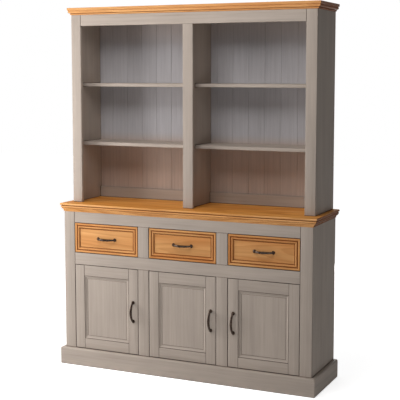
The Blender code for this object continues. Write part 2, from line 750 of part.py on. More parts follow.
def welded_mesh(obj):
    """The piece as its modifiers leave it, with loose caps welded on."""
    graph = bpy.context.evaluated_depsgraph_get()
    mesh = bpy.data.meshes.new_from_object(obj.evaluated_get(graph))
    bm = bmesh.new()
    bm.from_mesh(mesh)
    bmesh.ops.remove_doubles(bm, verts=bm.verts, dist=WELD)
    bm.to_mesh(mesh)
    bm.free()
    return mesh


def hang_handle(name, mesh, spot, on, upright):
    """A handle with its middle at this spot, lying along X or standing along Z."""
    obj = place(name, mesh.copy(), spot, on, BRONZE)
    if upright:
        obj.rotation_euler = (0, math.pi / 2, 0)


clear_scene()
PARTS = new_collection("dresser")
CUTTERS = new_collection("dresser_cutters")

hutch = carrier("hutch", (0, BACK, WORKTOP_HEIGHT))
make_hutch_shelves(hutch, make_hutch_carcase(hutch))
make_hutch_frame(hutch)

base = carrier("base", (0, BACK, 0))
make_worktop(base)
make_base_frame(base)
make_base_carcase(base)

bow_handle = handle_mesh()
for bay_name, bay_centre in BAYS.items():
    make_drawer(bay_name, bay_centre, bow_handle)
    make_door(bay_name, bay_centre, bow_handle)
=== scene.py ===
# %% [markdown]
# # A two-tone dresser: dressing the solids
#
# The joiner's solids are already cut and packed. This lesson loads them as a fixed frame, gives
# every board its finish, and builds a finer piece over those that the eye goes to first: mouldings,
# worktop, face frame, shelves, drawer fronts, doors and handles. Nothing here changes a size.

# %% Load the frame
import json
import math
import zlib
from collections import namedtuple

import bmesh
import bpy
import numpy as np
from mathutils import Matrix, Vector


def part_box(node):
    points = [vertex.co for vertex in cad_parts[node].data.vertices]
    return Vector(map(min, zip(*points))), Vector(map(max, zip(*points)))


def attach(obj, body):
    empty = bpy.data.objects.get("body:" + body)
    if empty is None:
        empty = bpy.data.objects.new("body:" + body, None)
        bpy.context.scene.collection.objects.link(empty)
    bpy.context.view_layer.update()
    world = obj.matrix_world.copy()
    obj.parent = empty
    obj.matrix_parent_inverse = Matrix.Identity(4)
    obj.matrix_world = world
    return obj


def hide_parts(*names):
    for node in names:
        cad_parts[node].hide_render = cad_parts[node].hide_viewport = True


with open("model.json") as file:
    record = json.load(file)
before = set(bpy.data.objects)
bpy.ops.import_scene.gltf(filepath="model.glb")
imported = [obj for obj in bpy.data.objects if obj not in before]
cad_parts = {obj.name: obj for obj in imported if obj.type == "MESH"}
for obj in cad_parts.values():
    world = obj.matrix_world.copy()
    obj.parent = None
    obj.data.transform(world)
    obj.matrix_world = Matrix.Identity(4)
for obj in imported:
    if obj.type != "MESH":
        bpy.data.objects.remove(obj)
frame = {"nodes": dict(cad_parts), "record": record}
NODES = frame["nodes"]
BODY_OF = {node: body for body, nodes in frame["record"]["behaviour"]["bodies"].items() for node in nodes}
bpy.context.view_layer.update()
MM = 0.001


# %% [markdown]
# ## The camera
#
# The photograph was taken from the front right, a little above the worktop, with a long lens. A camera
# could be moved by eye until the picture fits, but a fit to the dresser's corners is surer. It gave how
# far the camera is turned round the dresser, how far it looks down, its distance, and a small downward
# shift of the frame.

# %% Camera
AIM = Vector((0.0233, 0.0079, 1.0833))
TURN = math.radians(24.567)
FALL = math.radians(5.905)
DISTANCE = 5.460
LENS_MM = 90.26
FRAME_SHIFT = -0.06

back_to_camera = Vector(
    (math.sin(TURN) * math.cos(FALL), -math.cos(TURN) * math.cos(FALL), math.sin(FALL))
)
lens = bpy.data.cameras.new("photograph")
lens.lens = LENS_MM
lens.shift_y = FRAME_SHIFT
camera = bpy.data.objects.new("photograph", lens)
camera.location = AIM + back_to_camera * DISTANCE
camera.rotation_euler = (-back_to_camera).to_track_quat("-Z", "Y").to_euler()
bpy.context.scene.collection.objects.link(camera)
bpy.context.scene.camera = camera
bpy.context.scene.view_settings.view_transform = "Standard"
print("camera at", [round(x, 3) for x in camera.location])


# %% [markdown]
# ## Light
#
# A dresser is photographed between big soft boxes. One sun lamp would light it too, but its shadows are
# hard and its light is the same from end to end. Here a bank of tall lamps stands close on the left, so
# the front grows darker to the right and the right side falls into shade. One high lamp in front shines
# in under the frieze and the shelves, so that the boards behind them come out of shadow slowly. Weak
# lamps in front and on the right open the shadows, and two more, above and behind, light what the
# photograph doesn't show.

# %% Lamps
LAMPS = {  # where it stands, where it looks, its width and height in metres, its power in watts
    "left side": ((-2.2, -0.6, 1.3), (0, 0, 1.0), (0.6, 1.8), 13.0),
    "left strip": ((-2.2, -0.8, 1.2), (0, 0, 1.0), (0.3, 1.2), 19.5),
    "left front": ((-1.9, -1.3, 1.3), (0, 0, 1.0), (0.6, 1.8), 18.5),
    "left low": ((-1.9, -1.3, 0.6), (0, 0, 1.0), (1.0, 1.0), 5.0),
    "above": ((-0.03, -1.6, 2.95), (-0.02, 0.2, 1.5), (1.4, 1.2), 29.0),
    "far front": ((-0.5, -4.0, 1.6), (0, 0, 1.0), (1.5, 1.5), 4.0),
    "front low": ((0.0, -2.2, 0.35), (0, 0, 0.8), (1.6, 0.4), 1.5),
    "right low": ((2.8, -2.8, 0.4), (0, 0, 1.0), (2.0, 0.8), 9.0),
    "right side": ((3.5, -0.8, 1.2), (0, 0, 1.0), (2.0, 2.0), 6.0),
    "over the top": ((0.0, 0.9, 3.0), (0, 0.1, 2.0), (1.8, 0.6), 9.0),
    "behind": ((-0.4, 3.4, 0.5), (0, 0, 1.0), (2.2, 0.8), 50.0),
}


def add_lamp(name, place, aim, size, power):
    """A rectangular lamp that looks from its place to its aim."""
    data = bpy.data.lights.new(name, "AREA")
    data.shape = "RECTANGLE"
    data.size, data.size_y = size
    data.energy = power
    lamp = bpy.data.objects.new(name, data)
    lamp.location = place
    lamp.rotation_euler = (Vector(aim) - Vector(place)).to_track_quat("-Z", "Y").to_euler()
    bpy.context.scene.collection.objects.link(lamp)


for lamp_name, lamp_values in LAMPS.items():
    add_lamp(lamp_name, *lamp_values)
print("lamps", list(LAMPS))


# %% [markdown]
# ## Wiring shader nodes
#
# A procedural material is a small calculation at each point of the surface. Nodes could be placed by hand
# in the editor, but in a script one call per node lets a finish be read as a formula.

# %% Node helpers
NOISE_RUN = (0.3, 0.7)  # a noise runs from 0 to 1, but most of it lies between these


class Wiring:
    """Adds shader nodes to one tree; an input may be a number, a colour or another node's output."""

    def __init__(self, tree):
        self.tree = tree

    def feed(self, socket, value):
        """Links an output to the socket, or sets a plain value on it."""
        if isinstance(value, bpy.types.NodeSocket):
            self.tree.links.new(value, socket)
        else:
            socket.default_value = value

    def node(self, kind, inputs=None, **settings):
        """One node with its settings and its inputs."""
        made = self.tree.nodes.new(kind)
        for key, value in settings.items():
            setattr(made, key, value)
        for key, value in (inputs or {}).items():
            self.feed(made.inputs[key], value)
        return made

    def sum(self, operation, *values):
        """One step of arithmetic on numbers."""
        return self.node("ShaderNodeMath", dict(enumerate(values)), operation=operation).outputs[0]

    def vector(self, operation, *values):
        """One step of arithmetic on vectors."""
        return self.node("ShaderNodeVectorMath", dict(enumerate(values)), operation=operation).outputs[0]

    def scaled(self, colour, factor):
        """A colour times a number."""
        return self.node("ShaderNodeVectorMath", {0: colour, "Scale": factor}, operation="SCALE").outputs[0]

    def mix(self, share, first, second, blend="MIX"):
        """The first colour, with a share of the second mixed or multiplied in."""
        made = self.node("ShaderNodeMix", data_type="RGBA", blend_type=blend)
        self.feed(made.inputs[0], share)
        self.feed(made.inputs[6], first)
        self.feed(made.inputs[7], second)
        return made.outputs[2]

    def spread(self, value, low, high, to_low=0.0, to_high=1.0, kind="SMOOTHSTEP"):
        """A value's run from low to high, spread over the run from to_low to to_high."""
        inputs = {"Value": value, "From Min": low, "From Max": high, "To Min": to_low, "To Max": to_high}
        return self.node("ShaderNodeMapRange", inputs, interpolation_type=kind).outputs[0]

    def coordinate(self, output, letter):
        """One number of the point's own place (Object) or of the way that its face looks (Normal)."""
        whole = self.node("ShaderNodeTexCoord").outputs[output]
        return self.node("ShaderNodeSeparateXYZ", {0: whole}).outputs[letter]

    def stretched(self, vector, along, across, detail=3.0, roughness=0.55, distortion=0.0):
        """Noise drawn out along the grain: so many waves to the metre along it and across it."""
        inputs = {
            "Vector": self.vector("MULTIPLY", vector, (along, across, across)),
            "Scale": 1.0,
            "Detail": detail,
            "Roughness": roughness,
            "Distortion": distortion,
        }
        return self.node("ShaderNodeTexNoise", inputs).outputs["Fac"]


def linear(red, green, blue):
    """A screen colour of 0 to 255 as the linear colour that a shader takes."""
    values = np.array((red, green, blue)) / 255
    values = np.where(values <= 0.04045, values / 12.92, ((values + 0.055) / 1.055) ** 2.4)
    return (*(float(v) for v in values), 1.0)


print("a mid grey of 128 is", round(linear(128, 128, 128)[0], 3), "in linear light")


# %% [markdown]
# ## Finishes
#
# The dresser is softwood, painted taupe outside, greyer on the boards behind the shelves, and oiled on
# the worktop, the cornice and the drawer fronts. A picture of wood could be laid on each board, but it
# would repeat, and it would stretch at the mouldings. So each finish is a node group instead. It takes a
# place on the board, whose first number runs along the grain, and gives colour, roughness and height.

# %% Groups for finishes
FINISH_VALUES = {"Colour": "NodeSocketColor", "Roughness": "NodeSocketFloat", "Height": "NodeSocketFloat"}


def new_group(name):
    """An empty group with a place coming in and the three values of a finish going out."""
    group = bpy.data.node_groups.new(name, "ShaderNodeTree")
    group.interface.new_socket("Place", in_out="INPUT", socket_type="NodeSocketVector")
    for value, kind in FINISH_VALUES.items():
        group.interface.new_socket(value, in_out="OUTPUT", socket_type=kind)
    wiring = Wiring(group)
    return group, wiring, wiring.node("NodeGroupInput").outputs[0]


def close_group(wiring, colour, roughness, height):
    """Joins the three values to the group's output."""
    wiring.node("NodeGroupOutput", {0: colour, 1: roughness, 2: height})


print("a finish gives", list(FINISH_VALUES))


# %% [markdown]
# ### Brushed paint
#
# The paint is thin and was brushed on along the grain. It dries in streaks of several widths, and in the
# valleys between them the wood shows faintly. One noise gives streaks of one width only, so three are
# laid over each other, and a fourth, almost round, clouds the whole board.

# %% Brushed paint
PAINT_WAVES = {  # waves to the metre along and across the grain, and detail
    "broad": (1.1, 16, 2.0),
    "middle": (2.4, 90, 3.0),
    "fine": (7.0, 420, 2.0),
    "cloud": (5.0, 6.0, 2.0),
}
STREAK_WEIGHTS, CLOUD_WEIGHT = (0.35, 0.45, 0.35), 0.14
VALLEY_EDGE, VALLEY_FLOOR, BARE_SHARE = 0.62, 0.42, 0.16
PAINT_ROUGHNESS = (0.62, 0.48)  # in the valleys and on the ridges


def brushed_paint(name, base, bare, streaks):
    """Base colour times 1 + each layer's weight times (layer - 1/2); bare wood mixed into the valleys."""
    group, w, place = new_group(name)
    broad, middle, fine, cloud = (w.stretched(place, *waves) for waves in PAINT_WAVES.values())
    weights = [weight * streaks for weight in STREAK_WEIGHTS] + [CLOUD_WEIGHT]
    light = 1.0
    for layer, weight in zip((broad, middle, fine, cloud), weights):
        light = w.sum("MULTIPLY_ADD", w.sum("SUBTRACT", layer, 0.5), weight, light)
    valley = w.spread(w.sum("ADD", middle, w.sum("MULTIPLY", fine, 0.5)), VALLEY_EDGE, VALLEY_FLOOR)
    colour = w.scaled(w.mix(w.sum("MULTIPLY", valley, BARE_SHARE), base, bare), light)
    roughness = w.spread(middle, *NOISE_RUN, *PAINT_ROUGHNESS, "LINEAR")
    height = w.sum("MULTIPLY_ADD", fine, 0.6, w.sum("MULTIPLY", middle, 0.7))
    close_group(w, colour, roughness, height)
    return group


TAUPE = brushed_paint("taupe_paint", linear(176, 163, 152), linear(128, 104, 88), 0.62)
BOARDS = brushed_paint("grey_boards", linear(193, 190, 193), linear(142, 127, 118), 0.68)
print("paints", TAUPE.name, BOARDS.name)


# %% [markdown]
# ### Oiled pine
#
# A pine board is sawn nearly along its growth rings, so they show as long pointed figures and not as
# even stripes, as a wave texture would draw them. The contour lines of a slow noise are such figures:
# the noise times a number of rings, less its whole part, climbs from 0 to 1 between one ring and the
# next. The late wood at the end of each climb is darker, and fine fibres and streaks lie over it all.

# %% Oiled pine
WOOD_WAVES = {  # waves to the metre along and across the grain, detail, roughness and distortion
    "slow": (0.55, 5.5, 2.0, 0.5, 0.3),
    "fibre": (6.0, 300, 3.0),
    "streak": (1.6, 38, 3.0),
    "tone": (0.9, 9.0, 2.0),
}
LATE_FROM, LATE_FULL, LATE_ENDS = 0.25, 0.88, 0.9
DEEPENS, STREAKS = (0.3, 0.72), (0.56, 0.74)
STREAK_SHARE, FIBRE_WEIGHT = 0.28, 0.30
WOOD_ROUGHNESS = (0.52, 0.42)  # between the fibres and on them


def oiled_wood(name, pale, deep, dark, ring_count, ring_strength):
    """Pale to deep by a slow tone, darkened by late wood and streaks, times 1 + weight (fibre - 1/2)."""
    group, w, place = new_group(name)
    slow, fibre, streak, tone = (w.stretched(place, *waves) for waves in WOOD_WAVES.values())
    rings = w.sum("FRACT", w.sum("MULTIPLY", slow, ring_count))
    late = w.sum("MULTIPLY", w.spread(rings, LATE_FROM, LATE_FULL), w.spread(rings, 1.0, LATE_ENDS))
    colour = w.mix(w.spread(tone, *DEEPENS), pale, deep)
    colour = w.mix(w.sum("MULTIPLY", late, ring_strength), colour, dark)
    colour = w.mix(w.spread(streak, *STREAKS, 0.0, STREAK_SHARE), colour, dark)
    colour = w.scaled(colour, w.sum("MULTIPLY_ADD", w.sum("SUBTRACT", fibre, 0.5), FIBRE_WEIGHT, 1.0))
    roughness = w.spread(fibre, *NOISE_RUN, *WOOD_ROUGHNESS, "LINEAR")
    height = w.sum("MULTIPLY_ADD", fibre, 0.5, w.sum("MULTIPLY", late, -0.35))
    close_group(w, colour, roughness, height)
    return group


PINE = oiled_wood("honey_pine", linear(225, 170, 111), linear(208, 142, 84), linear(172, 103, 50), 15.0, 0.30)
TOP_PINE = oiled_wood("worktop_pine", linear(238, 190, 137), linear(224, 162, 98), linear(170, 104, 46), 13.0, 0.42)
RAW = oiled_wood("bare_wood", linear(214, 184, 142), linear(200, 166, 120), linear(168, 126, 80), 8.0, 0.35)
print("woods", PINE.name, TOP_PINE.name, RAW.name)


# %% [markdown]
# ### A finish on a board
#
# One finish serves many boards, and each board needs a figure of its own, or neighbours would match like
# wallpaper. So the place on a board is moved by a seed drawn from its name: another letter at the end of
# the name picks another figure. A joiner's solid takes its place from Object coordinates. A piece that is
# made below carries it in an attribute called grain, which can turn at a mitre.

# %% Place on a board
AXES = {"X": ("X", "Y", "Z"), "Y": ("Y", "X", "Z"), "Z": ("Z", "X", "Y")}


def seed_of(name):
    """Three numbers that are the same for one name each time, so that no two boards share a figure."""
    draw = np.random.default_rng(zlib.crc32(name.encode()))
    return tuple(float(v) for v in draw.uniform(-40, 40, 3))


def board_place(w, axis, seed):
    """The place on a board with the grain's direction first, moved by the board's own seed."""
    if axis is None:
        return w.node("ShaderNodeAttribute", attribute_name="grain").outputs["Vector"]
    parts = w.node("ShaderNodeSeparateXYZ", {0: w.node("ShaderNodeTexCoord").outputs["Object"]})
    turned = w.node("ShaderNodeCombineXYZ", {i: parts.outputs[letter] for i, letter in enumerate(AXES[axis])})
    return w.vector("ADD", turned.outputs[0], seed)


print("seed of the cornice", [round(v, 1) for v in seed_of("cornice")])


# %% [markdown]
# ### Tones by place
#
# Some tones belong to a place and not to a board. End grain turns dark, partly with the oil it drinks and
# partly as painted shade, and the short returns of the mouldings and the drawer fronts towards the right
# are darkened by painted shade. The worktop is oiled most often on top and is yellower there. The boards
# behind the lowest shelves are browner with painted warm bounce light, and those at the very top a little,
# with painted shade. Each tone could be a material of its own with a hard edge; a colour multiplied in by
# a share fades out instead.

# %% Tones by place
# darkening for end grain, partly oil and partly painted shade, and painted shade on returns and fronts
OIL_AND_SHADE_TONE = (0.28, 0.16, 0.07, 1.0)
OILED_TOP = (0.98, 0.80, 0.45, 1.0)
# painted warm bounce light and painted shade on the boards behind the shelves
PAINTED_WARM_BOUNCE = (0.97, 0.80, 0.66, 1.0)
FACES_UP = (0.5, 0.95)
FACES_FRONT = (-0.5, -0.2)
# painted warm bounce light below the first heights, painted shade above the second
WARM_BOUNCE_UP_TO = (1.23, 1.31)
TOP_SHADE_ABOVE = (1.76, 1.90)
TOP_SHADE_SHARE = 0.45


def toned(w, colour, kind, axis):
    """The finish's colour times the tones of its kind, each by its share at this point."""
    # oil and painted shade, by the share stored at each corner
    if axis is None and "pine" in kind:
        soaked = w.node("ShaderNodeAttribute", attribute_name="soaked").outputs["Fac"]
        colour = w.mix(soaked, colour, OIL_AND_SHADE_TONE, blend="MULTIPLY")
    if kind == "worktop_pine":
        on_top = w.spread(w.coordinate("Normal", "Z"), *FACES_UP)
        colour = w.mix(on_top, colour, OILED_TOP, blend="MULTIPLY")
    # front faces only: painted warm bounce light low down and painted shade at the very top
    if kind == "grey_boards":
        up = w.coordinate("Object", "Z")
        low_down, high_up = w.spread(up, *WARM_BOUNCE_UP_TO, 1.0, 0.0), w.spread(up, *TOP_SHADE_ABOVE, 0.0, TOP_SHADE_SHARE)
        in_front = w.spread(w.coordinate("Normal", "Y"), *FACES_FRONT, 1.0, 0.0)
        browned = w.sum("MULTIPLY", w.sum("MAXIMUM", low_down, high_up), in_front)
        colour = w.mix(browned, colour, PAINTED_WARM_BOUNCE, blend="MULTIPLY")
    return colour


print("tones", {"soaked": OIL_AND_SHADE_TONE[:3], "oiled top": OILED_TOP[:3], "browned": PAINTED_WARM_BOUNCE[:3]})


# %% [markdown]
# ### Wax and painted shade in the corners
#
# Wax and dust gather in quirks and joints. The darkening here is partly that wax and partly painted
# shade: the shade that falls into quirks, joints and gaps and under the mouldings, and the near black
# in the deepest gaps. It could be painted on by hand, but Ambient Occlusion finds such places: it gives
# how much of the open a point sees within a few millimetres. The wax colour comes in as that falls, and
# the painted near-black shade comes in below it.

# %% Wax and painted shade in the corners
WAX_SHADE_REACH = 0.006
# painted shade: the near black deep in gaps and joints
PAINTED_GAP_SHADE = linear(34, 27, 22)
# where the wax colour, partly wax and partly painted shade, starts and is full
WAX_SHADE_STARTS, WAX_SHADE_FULL = 0.94, 0.55
# where the painted near-black shade starts and is full
GAP_SHADE_STARTS, GAP_SHADE_FULL = 0.60, 0.35


def wax_and_painted_shade(w, colour, wax, share):
    """The colour, with up to a share of wax and painted shade mixed in where the point sees less, then of painted
    near-black shade.
    """
    open_sky = w.node("ShaderNodeAmbientOcclusion", {"Distance": WAX_SHADE_REACH}, samples=8).outputs["AO"]
    colour = w.mix(w.spread(open_sky, WAX_SHADE_STARTS, WAX_SHADE_FULL, 0.0, share), colour, wax)
    return w.mix(w.spread(open_sky, GAP_SHADE_STARTS, GAP_SHADE_FULL, 0.0, share), colour, PAINTED_GAP_SHADE)


print("wax gathers within", WAX_SHADE_REACH / MM, "mm of its neighbours")


# %% [markdown]
# ### Materials from finishes
#
# A material puts all of this on a shader: the group's colour with its tones, some of which are painted
# shade and painted bounce light, and its wax and painted shade in the recesses, its roughness, and its
# height as a fine relief. The relief could be cut into the mesh, but a brush mark is a tenth of a
# millimetre deep, and a bump does for that. Oiled and thinly painted softwood hardly shines, so the
# specular level is low.

# %% Materials from finishes
# the fourth value is the colour mixed into recesses, partly wax and partly painted shade; the fifth is its share
Finish = namedtuple("Finish", "group relief gloss wax wax_share")
RELIEF_STRENGTH = 0.6
FINISHES = {
    "taupe_paint": Finish(TAUPE, 0.0003, 0.05, linear(84, 70, 58), 0.75),
    "honey_pine": Finish(PINE, 0.0002, 0.05, linear(126, 60, 18), 0.95),
    "worktop_pine": Finish(TOP_PINE, 0.0002, 0.03, linear(128, 62, 18), 0.85),
    "bare_wood": Finish(RAW, 0.0002, 0.1, linear(150, 108, 64), 0.6),
    "grey_boards": Finish(BOARDS, 0.0003, 0.05, linear(120, 110, 104), 0.12),
}


def finish_material(name, kind, axis, seed=None):
    """A material that wears one of the finishes: its group's colour, tones (partly painted shade and bounce light), wax
    and painted shade, gloss and relief.
    """
    finish = FINISHES[kind]
    material = bpy.data.materials.new(name)
    material.use_nodes = True
    w = Wiring(material.node_tree)
    shader = material.node_tree.nodes["Principled BSDF"]
    worn = w.node("ShaderNodeGroup", node_tree=finish.group)
    w.feed(worn.inputs[0], board_place(w, axis, seed))
    colour = toned(w, worn.outputs["Colour"], kind, axis)
    w.feed(shader.inputs["Base Color"], wax_and_painted_shade(w, colour, finish.wax, finish.wax_share))
    w.feed(shader.inputs["Roughness"], worn.outputs["Roughness"])
    bumps = {"Height": worn.outputs["Height"], "Distance": finish.relief, "Strength": RELIEF_STRENGTH}
    w.feed(shader.inputs["Normal"], w.node("ShaderNodeBump", bumps).outputs[0])
    shader.inputs["Specular IOR Level"].default_value = finish.gloss
    return material


print("finishes", list(FINISHES))


# %% [markdown]
# ### Metals
#
# The handles are cast and given a dark bronze finish, which hands rub a little paler. The hinges, seen
# only when a door is open, are plated steel. One flat grey would look like plastic, so both have a cloudy
# tone, uneven gloss and a faint unevenness of the surface.

# %% Metals
CLOUDS_PER_METRE, SPECKS_PER_METRE = 160, 700
RUBBED = (0.45, 0.72)
ROUGHNESS_EITHER_WAY = 0.05


def metal(name, base, worn, roughness, bump):
    """Base to worn by a cloud noise, roughness a little either way by a finer one, relief by the first."""
    material = bpy.data.materials.new(name)
    material.use_nodes = True
    w = Wiring(material.node_tree)
    shader = material.node_tree.nodes["Principled BSDF"]
    place = w.node("ShaderNodeTexCoord").outputs["Object"]
    cloud = w.stretched(place, CLOUDS_PER_METRE, CLOUDS_PER_METRE, 3.0)
    speck = w.stretched(place, SPECKS_PER_METRE, SPECKS_PER_METRE, 2.0)
    smooth, rough = roughness - ROUGHNESS_EITHER_WAY, roughness + ROUGHNESS_EITHER_WAY
    w.feed(shader.inputs["Base Color"], w.mix(w.spread(cloud, *RUBBED), base, worn))
    w.feed(shader.inputs["Roughness"], w.spread(speck, *NOISE_RUN, smooth, rough))
    relief = w.node("ShaderNodeBump", {"Height": cloud, "Distance": bump, "Strength": 0.5})
    w.feed(shader.inputs["Normal"], relief.outputs[0])
    shader.inputs["Metallic"].default_value = 1.0
    return material


BRONZE = metal("dark_bronze", linear(48, 39, 34), linear(80, 66, 56), 0.18, 0.0002)
STEEL = metal("plated_steel", linear(176, 176, 178), linear(150, 150, 152), 0.30, 0.0001)
print("clouds on the metals are about", round(1 / CLOUDS_PER_METRE / MM, 1), "mm wide")


# %% [markdown]
# ### Dressing the solids
#
# Every solid gets its finish, also those that a finer piece stands for later. A joiner runs the grain
# along the length of each board, so the table says for each board which axis that is. One material for
# the whole dresser would be quicker, but then rails would have the grain of stiles.

# %% Dress the solids
GRAIN = {
    "taupe_paint": {
        "Z": ("hutch_side_", "hutch_stile_", "hutch_divider", "base_side_", "base_partition_", "base_stile_",
              "drawer_mullion_", "door_mullion_", "door_panel_", "door_frame_"),
        "X": ("hutch_frieze_rail", "hutch_top_board", "hutch_back_rail", "hutch_shelf_", "base_bottom_panel",
              "base_top_rail", "base_mid_rail", "plinth"),
    },
    "honey_pine": {"X": ("cornice", "drawer_front_")},
    "worktop_pine": {"X": ("worktop",)},
    "bare_wood": {"X": ("drawer_deck", "drawer_bottom_"), "Y": ("drawer_box_",)},
    "grey_boards": {"Z": ("hutch_back_panel", "base_back_panel")},
}
METALS = {"handle_": BRONZE, "door_hinge_": STEEL}


def material_for(node):
    """The metal whose nodes start so, or else a board's finish with the grain along its length."""
    for start, found in METALS.items():
        if node.startswith(start):
            return found
    kind, axis = next(
        (k, a) for k, by_axis in GRAIN.items() for a, starts in by_axis.items() if node.startswith(starts)
    )
    return finish_material(f"{node}_{kind}", kind, axis, seed_of(node))


for node, solid in NODES.items():
    solid.data.materials.clear()
    solid.data.materials.append(material_for(node))
print("dressed", len(NODES), "nodes")


# %% [markdown]
# ## Solids from numbers
#
# A moulding is a section carried along a path, and a board is the plainest moulding of all. A joiner's
# solid has such a section too, but with few points. Beads and hollows need many, and those are easiest
# to give as arcs. Each solid is one grid of points: one direction goes round the section, the other
# along the path.

# %% Sections carried along a path
ALONG_X, ALONG_Y, ALONG_Z = 0, 1, 2


def arc(centre, radii, start, end, steps=10):
    """Points on an ellipse: centre + (a cos t, b sin t), with t running between two angles in degrees."""
    turn = np.radians(np.linspace(start, end, steps + 1))
    return np.stack([centre[0] + radii[0] * np.cos(turn), centre[1] + radii[1] * np.sin(turn)], axis=1)


def carried(profile, origins, outs, ups):
    """A profile at each station: origin + its first number times out + its second number times up."""
    origins, outs, ups = (np.asarray(v, dtype=float)[:, None, :] for v in (origins, outs, ups))
    return origins + profile[None, :, :1] * outs + profile[None, :, 1:] * ups


def lofted(sections, grain, name, soaked=0.0):
    """A closed solid through sections: quads between each two of them, and a cap on both ends."""
    stations, count, _ = sections.shape
    index = np.arange(stations * count).reshape(stations, count)
    ahead = np.roll(index, -1, axis=1)
    sides = np.stack([index[:-1], ahead[:-1], ahead[1:], index[1:]], axis=-1).reshape(-1, 4)
    faces = sides.tolist() + [index[0].tolist(), index[-1].tolist()]
    return {"points": sections.reshape(-1, 3), "faces": faces, "grain": grain, "seed": seed_of(name),
            "soaked": soaked}


print("an arc of ten steps has", len(arc((0, 0), (1, 1), 0, 90)), "points")


# %% [markdown]
# ### Grain that turns at a mitre
#
# Each length of the real cornice has its own grain, and it turns at the mitre. Object coordinates can't
# turn, so every corner of every face stores its place with the grain's direction first. It also stores a
# share of darkening, the larger of how squarely its face cuts across the grain and the solid's own share.
# On end grain that is partly oil and partly painted shade; a solid's own share is painted shade.

# %% Grain, and darkening by oil and painted shade
GRAIN_FIRST = np.array([[0, 1, 2], [1, 0, 2], [2, 0, 1]])


def numbers(things, key, width=1, kind=float):
    """One property of all things at once, as rows of so many numbers."""
    values = np.empty(len(things) * width, dtype=kind)
    things.foreach_get(key, values)
    return values.reshape(-1, width)


def write_grain(mesh, solids, starts):
    """A corner's place, its numbers put in the order grain first, plus the seed of its solid."""
    corner_point = numbers(mesh.loops, "vertex_index", kind=np.int32)[:, 0]
    owner = np.searchsorted(starts, corner_point, side="right") - 1
    order = GRAIN_FIRST[np.array([s["grain"] for s in solids])][owner]
    seeds = np.array([s["seed"] for s in solids])[owner]
    values = np.take_along_axis(numbers(mesh.vertices, "co", 3)[corner_point], order, axis=1) + seeds
    grain = mesh.attributes.new("grain", "FLOAT_VECTOR", "CORNER")
    grain.data.foreach_set("vector", values.astype(np.float32).ravel())
    write_oil_and_shade(mesh, solids, owner)


def write_oil_and_shade(mesh, solids, owner):
    """The larger of the normal's share along the grain and the solid's own share, at each corner."""
    sizes = numbers(mesh.polygons, "loop_total", kind=np.int32)[:, 0]
    normal = np.repeat(np.abs(numbers(mesh.polygons, "normal", 3)), sizes, axis=0)
    along = np.array([s["grain"] for s in solids])[owner]
    # end grain darkens partly with oil and partly as painted shade; the own share is painted shade
    end_grain = np.take_along_axis(normal, along[:, None], axis=1)[:, 0]
    own = np.array([s["soaked"] for s in solids])[owner]
    soaked = mesh.attributes.new("soaked", "FLOAT", "CORNER")
    soaked.data.foreach_set("value", np.maximum(end_grain, own).astype(np.float32))


print("grain first, along x, y and z:", GRAIN_FIRST.tolist())


# %% [markdown]
# ### A piece that stands for a solid
#
# A finer piece takes over from a joiner's solid: it rides on the same body, wears the same finish, and
# the solid under it is hidden but stays for collisions. Small curves are shaded smooth, and an edge
# that bends by more than an angle stays sharp, which needs no extra faces as a Bevel modifier would.

# %% Pieces
SHARP_FROM = 32


def solid_mesh(name, points, faces):
    """A mesh of these points and faces, with its faces turned outwards."""
    mesh = bpy.data.meshes.new(name)
    mesh.from_pydata(points.tolist(), [], faces)
    bm = bmesh.new()
    bm.from_mesh(mesh)
    bmesh.ops.recalc_face_normals(bm, faces=bm.faces)
    bm.to_mesh(mesh)
    bm.free()
    return mesh


def piece(name, solids, material, replaced, sharp=SHARP_FROM):
    """One object made of solids, standing for a joiner's solid, with its grain on the faces' corners."""
    starts = np.cumsum([0] + [len(s["points"]) for s in solids])
    points = np.concatenate([s["points"] for s in solids])
    faces = [[i + int(start) for i in face] for s, start in zip(solids, starts) for face in s["faces"]]
    mesh = solid_mesh(name, points, faces)
    write_grain(mesh, solids, starts)
    mesh.shade_smooth()
    mesh.set_sharp_from_angle(angle=math.radians(sharp))
    mesh.materials.append(material)
    obj = bpy.data.objects.new(name, mesh)
    bpy.context.scene.collection.objects.link(obj)
    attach(obj, BODY_OF[replaced])
    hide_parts(replaced)


CARRIED = {
    kind: finish_material(f"{kind}_carried", kind, None) for kind in ("taupe_paint", "honey_pine", "worktop_pine")
}
print("finishes that turn with the grain", list(CARRIED))


# %% [markdown]
# ## Mouldings round the front and both sides
#
# Cornice, worktop moulding and plinth are each one section, run along a side, along the front and along
# the other side, with mitres between. The front stands out less than the sides do, so the section's
# outward numbers are shares of the overhang, and the mitre follows by itself. Sweeping a curve's bevel
# would be shorter, but it would give one grain to all three lengths.

# %% Mitred lengths
# painted shade: the side returns of the pine mouldings are darkened as if in shade
RETURN_PAINTED_SHADE = 0.95
HAIR = 0.00015
UPWARD = np.array([(0, 0, 1.0)] * 2)


def overhang(node, core_low, core_high):
    """How far a moulding's box stands out of what it goes round, at the sides and at the front."""
    low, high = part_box(node)
    return high.x - core_high.x, core_low.y - low.y


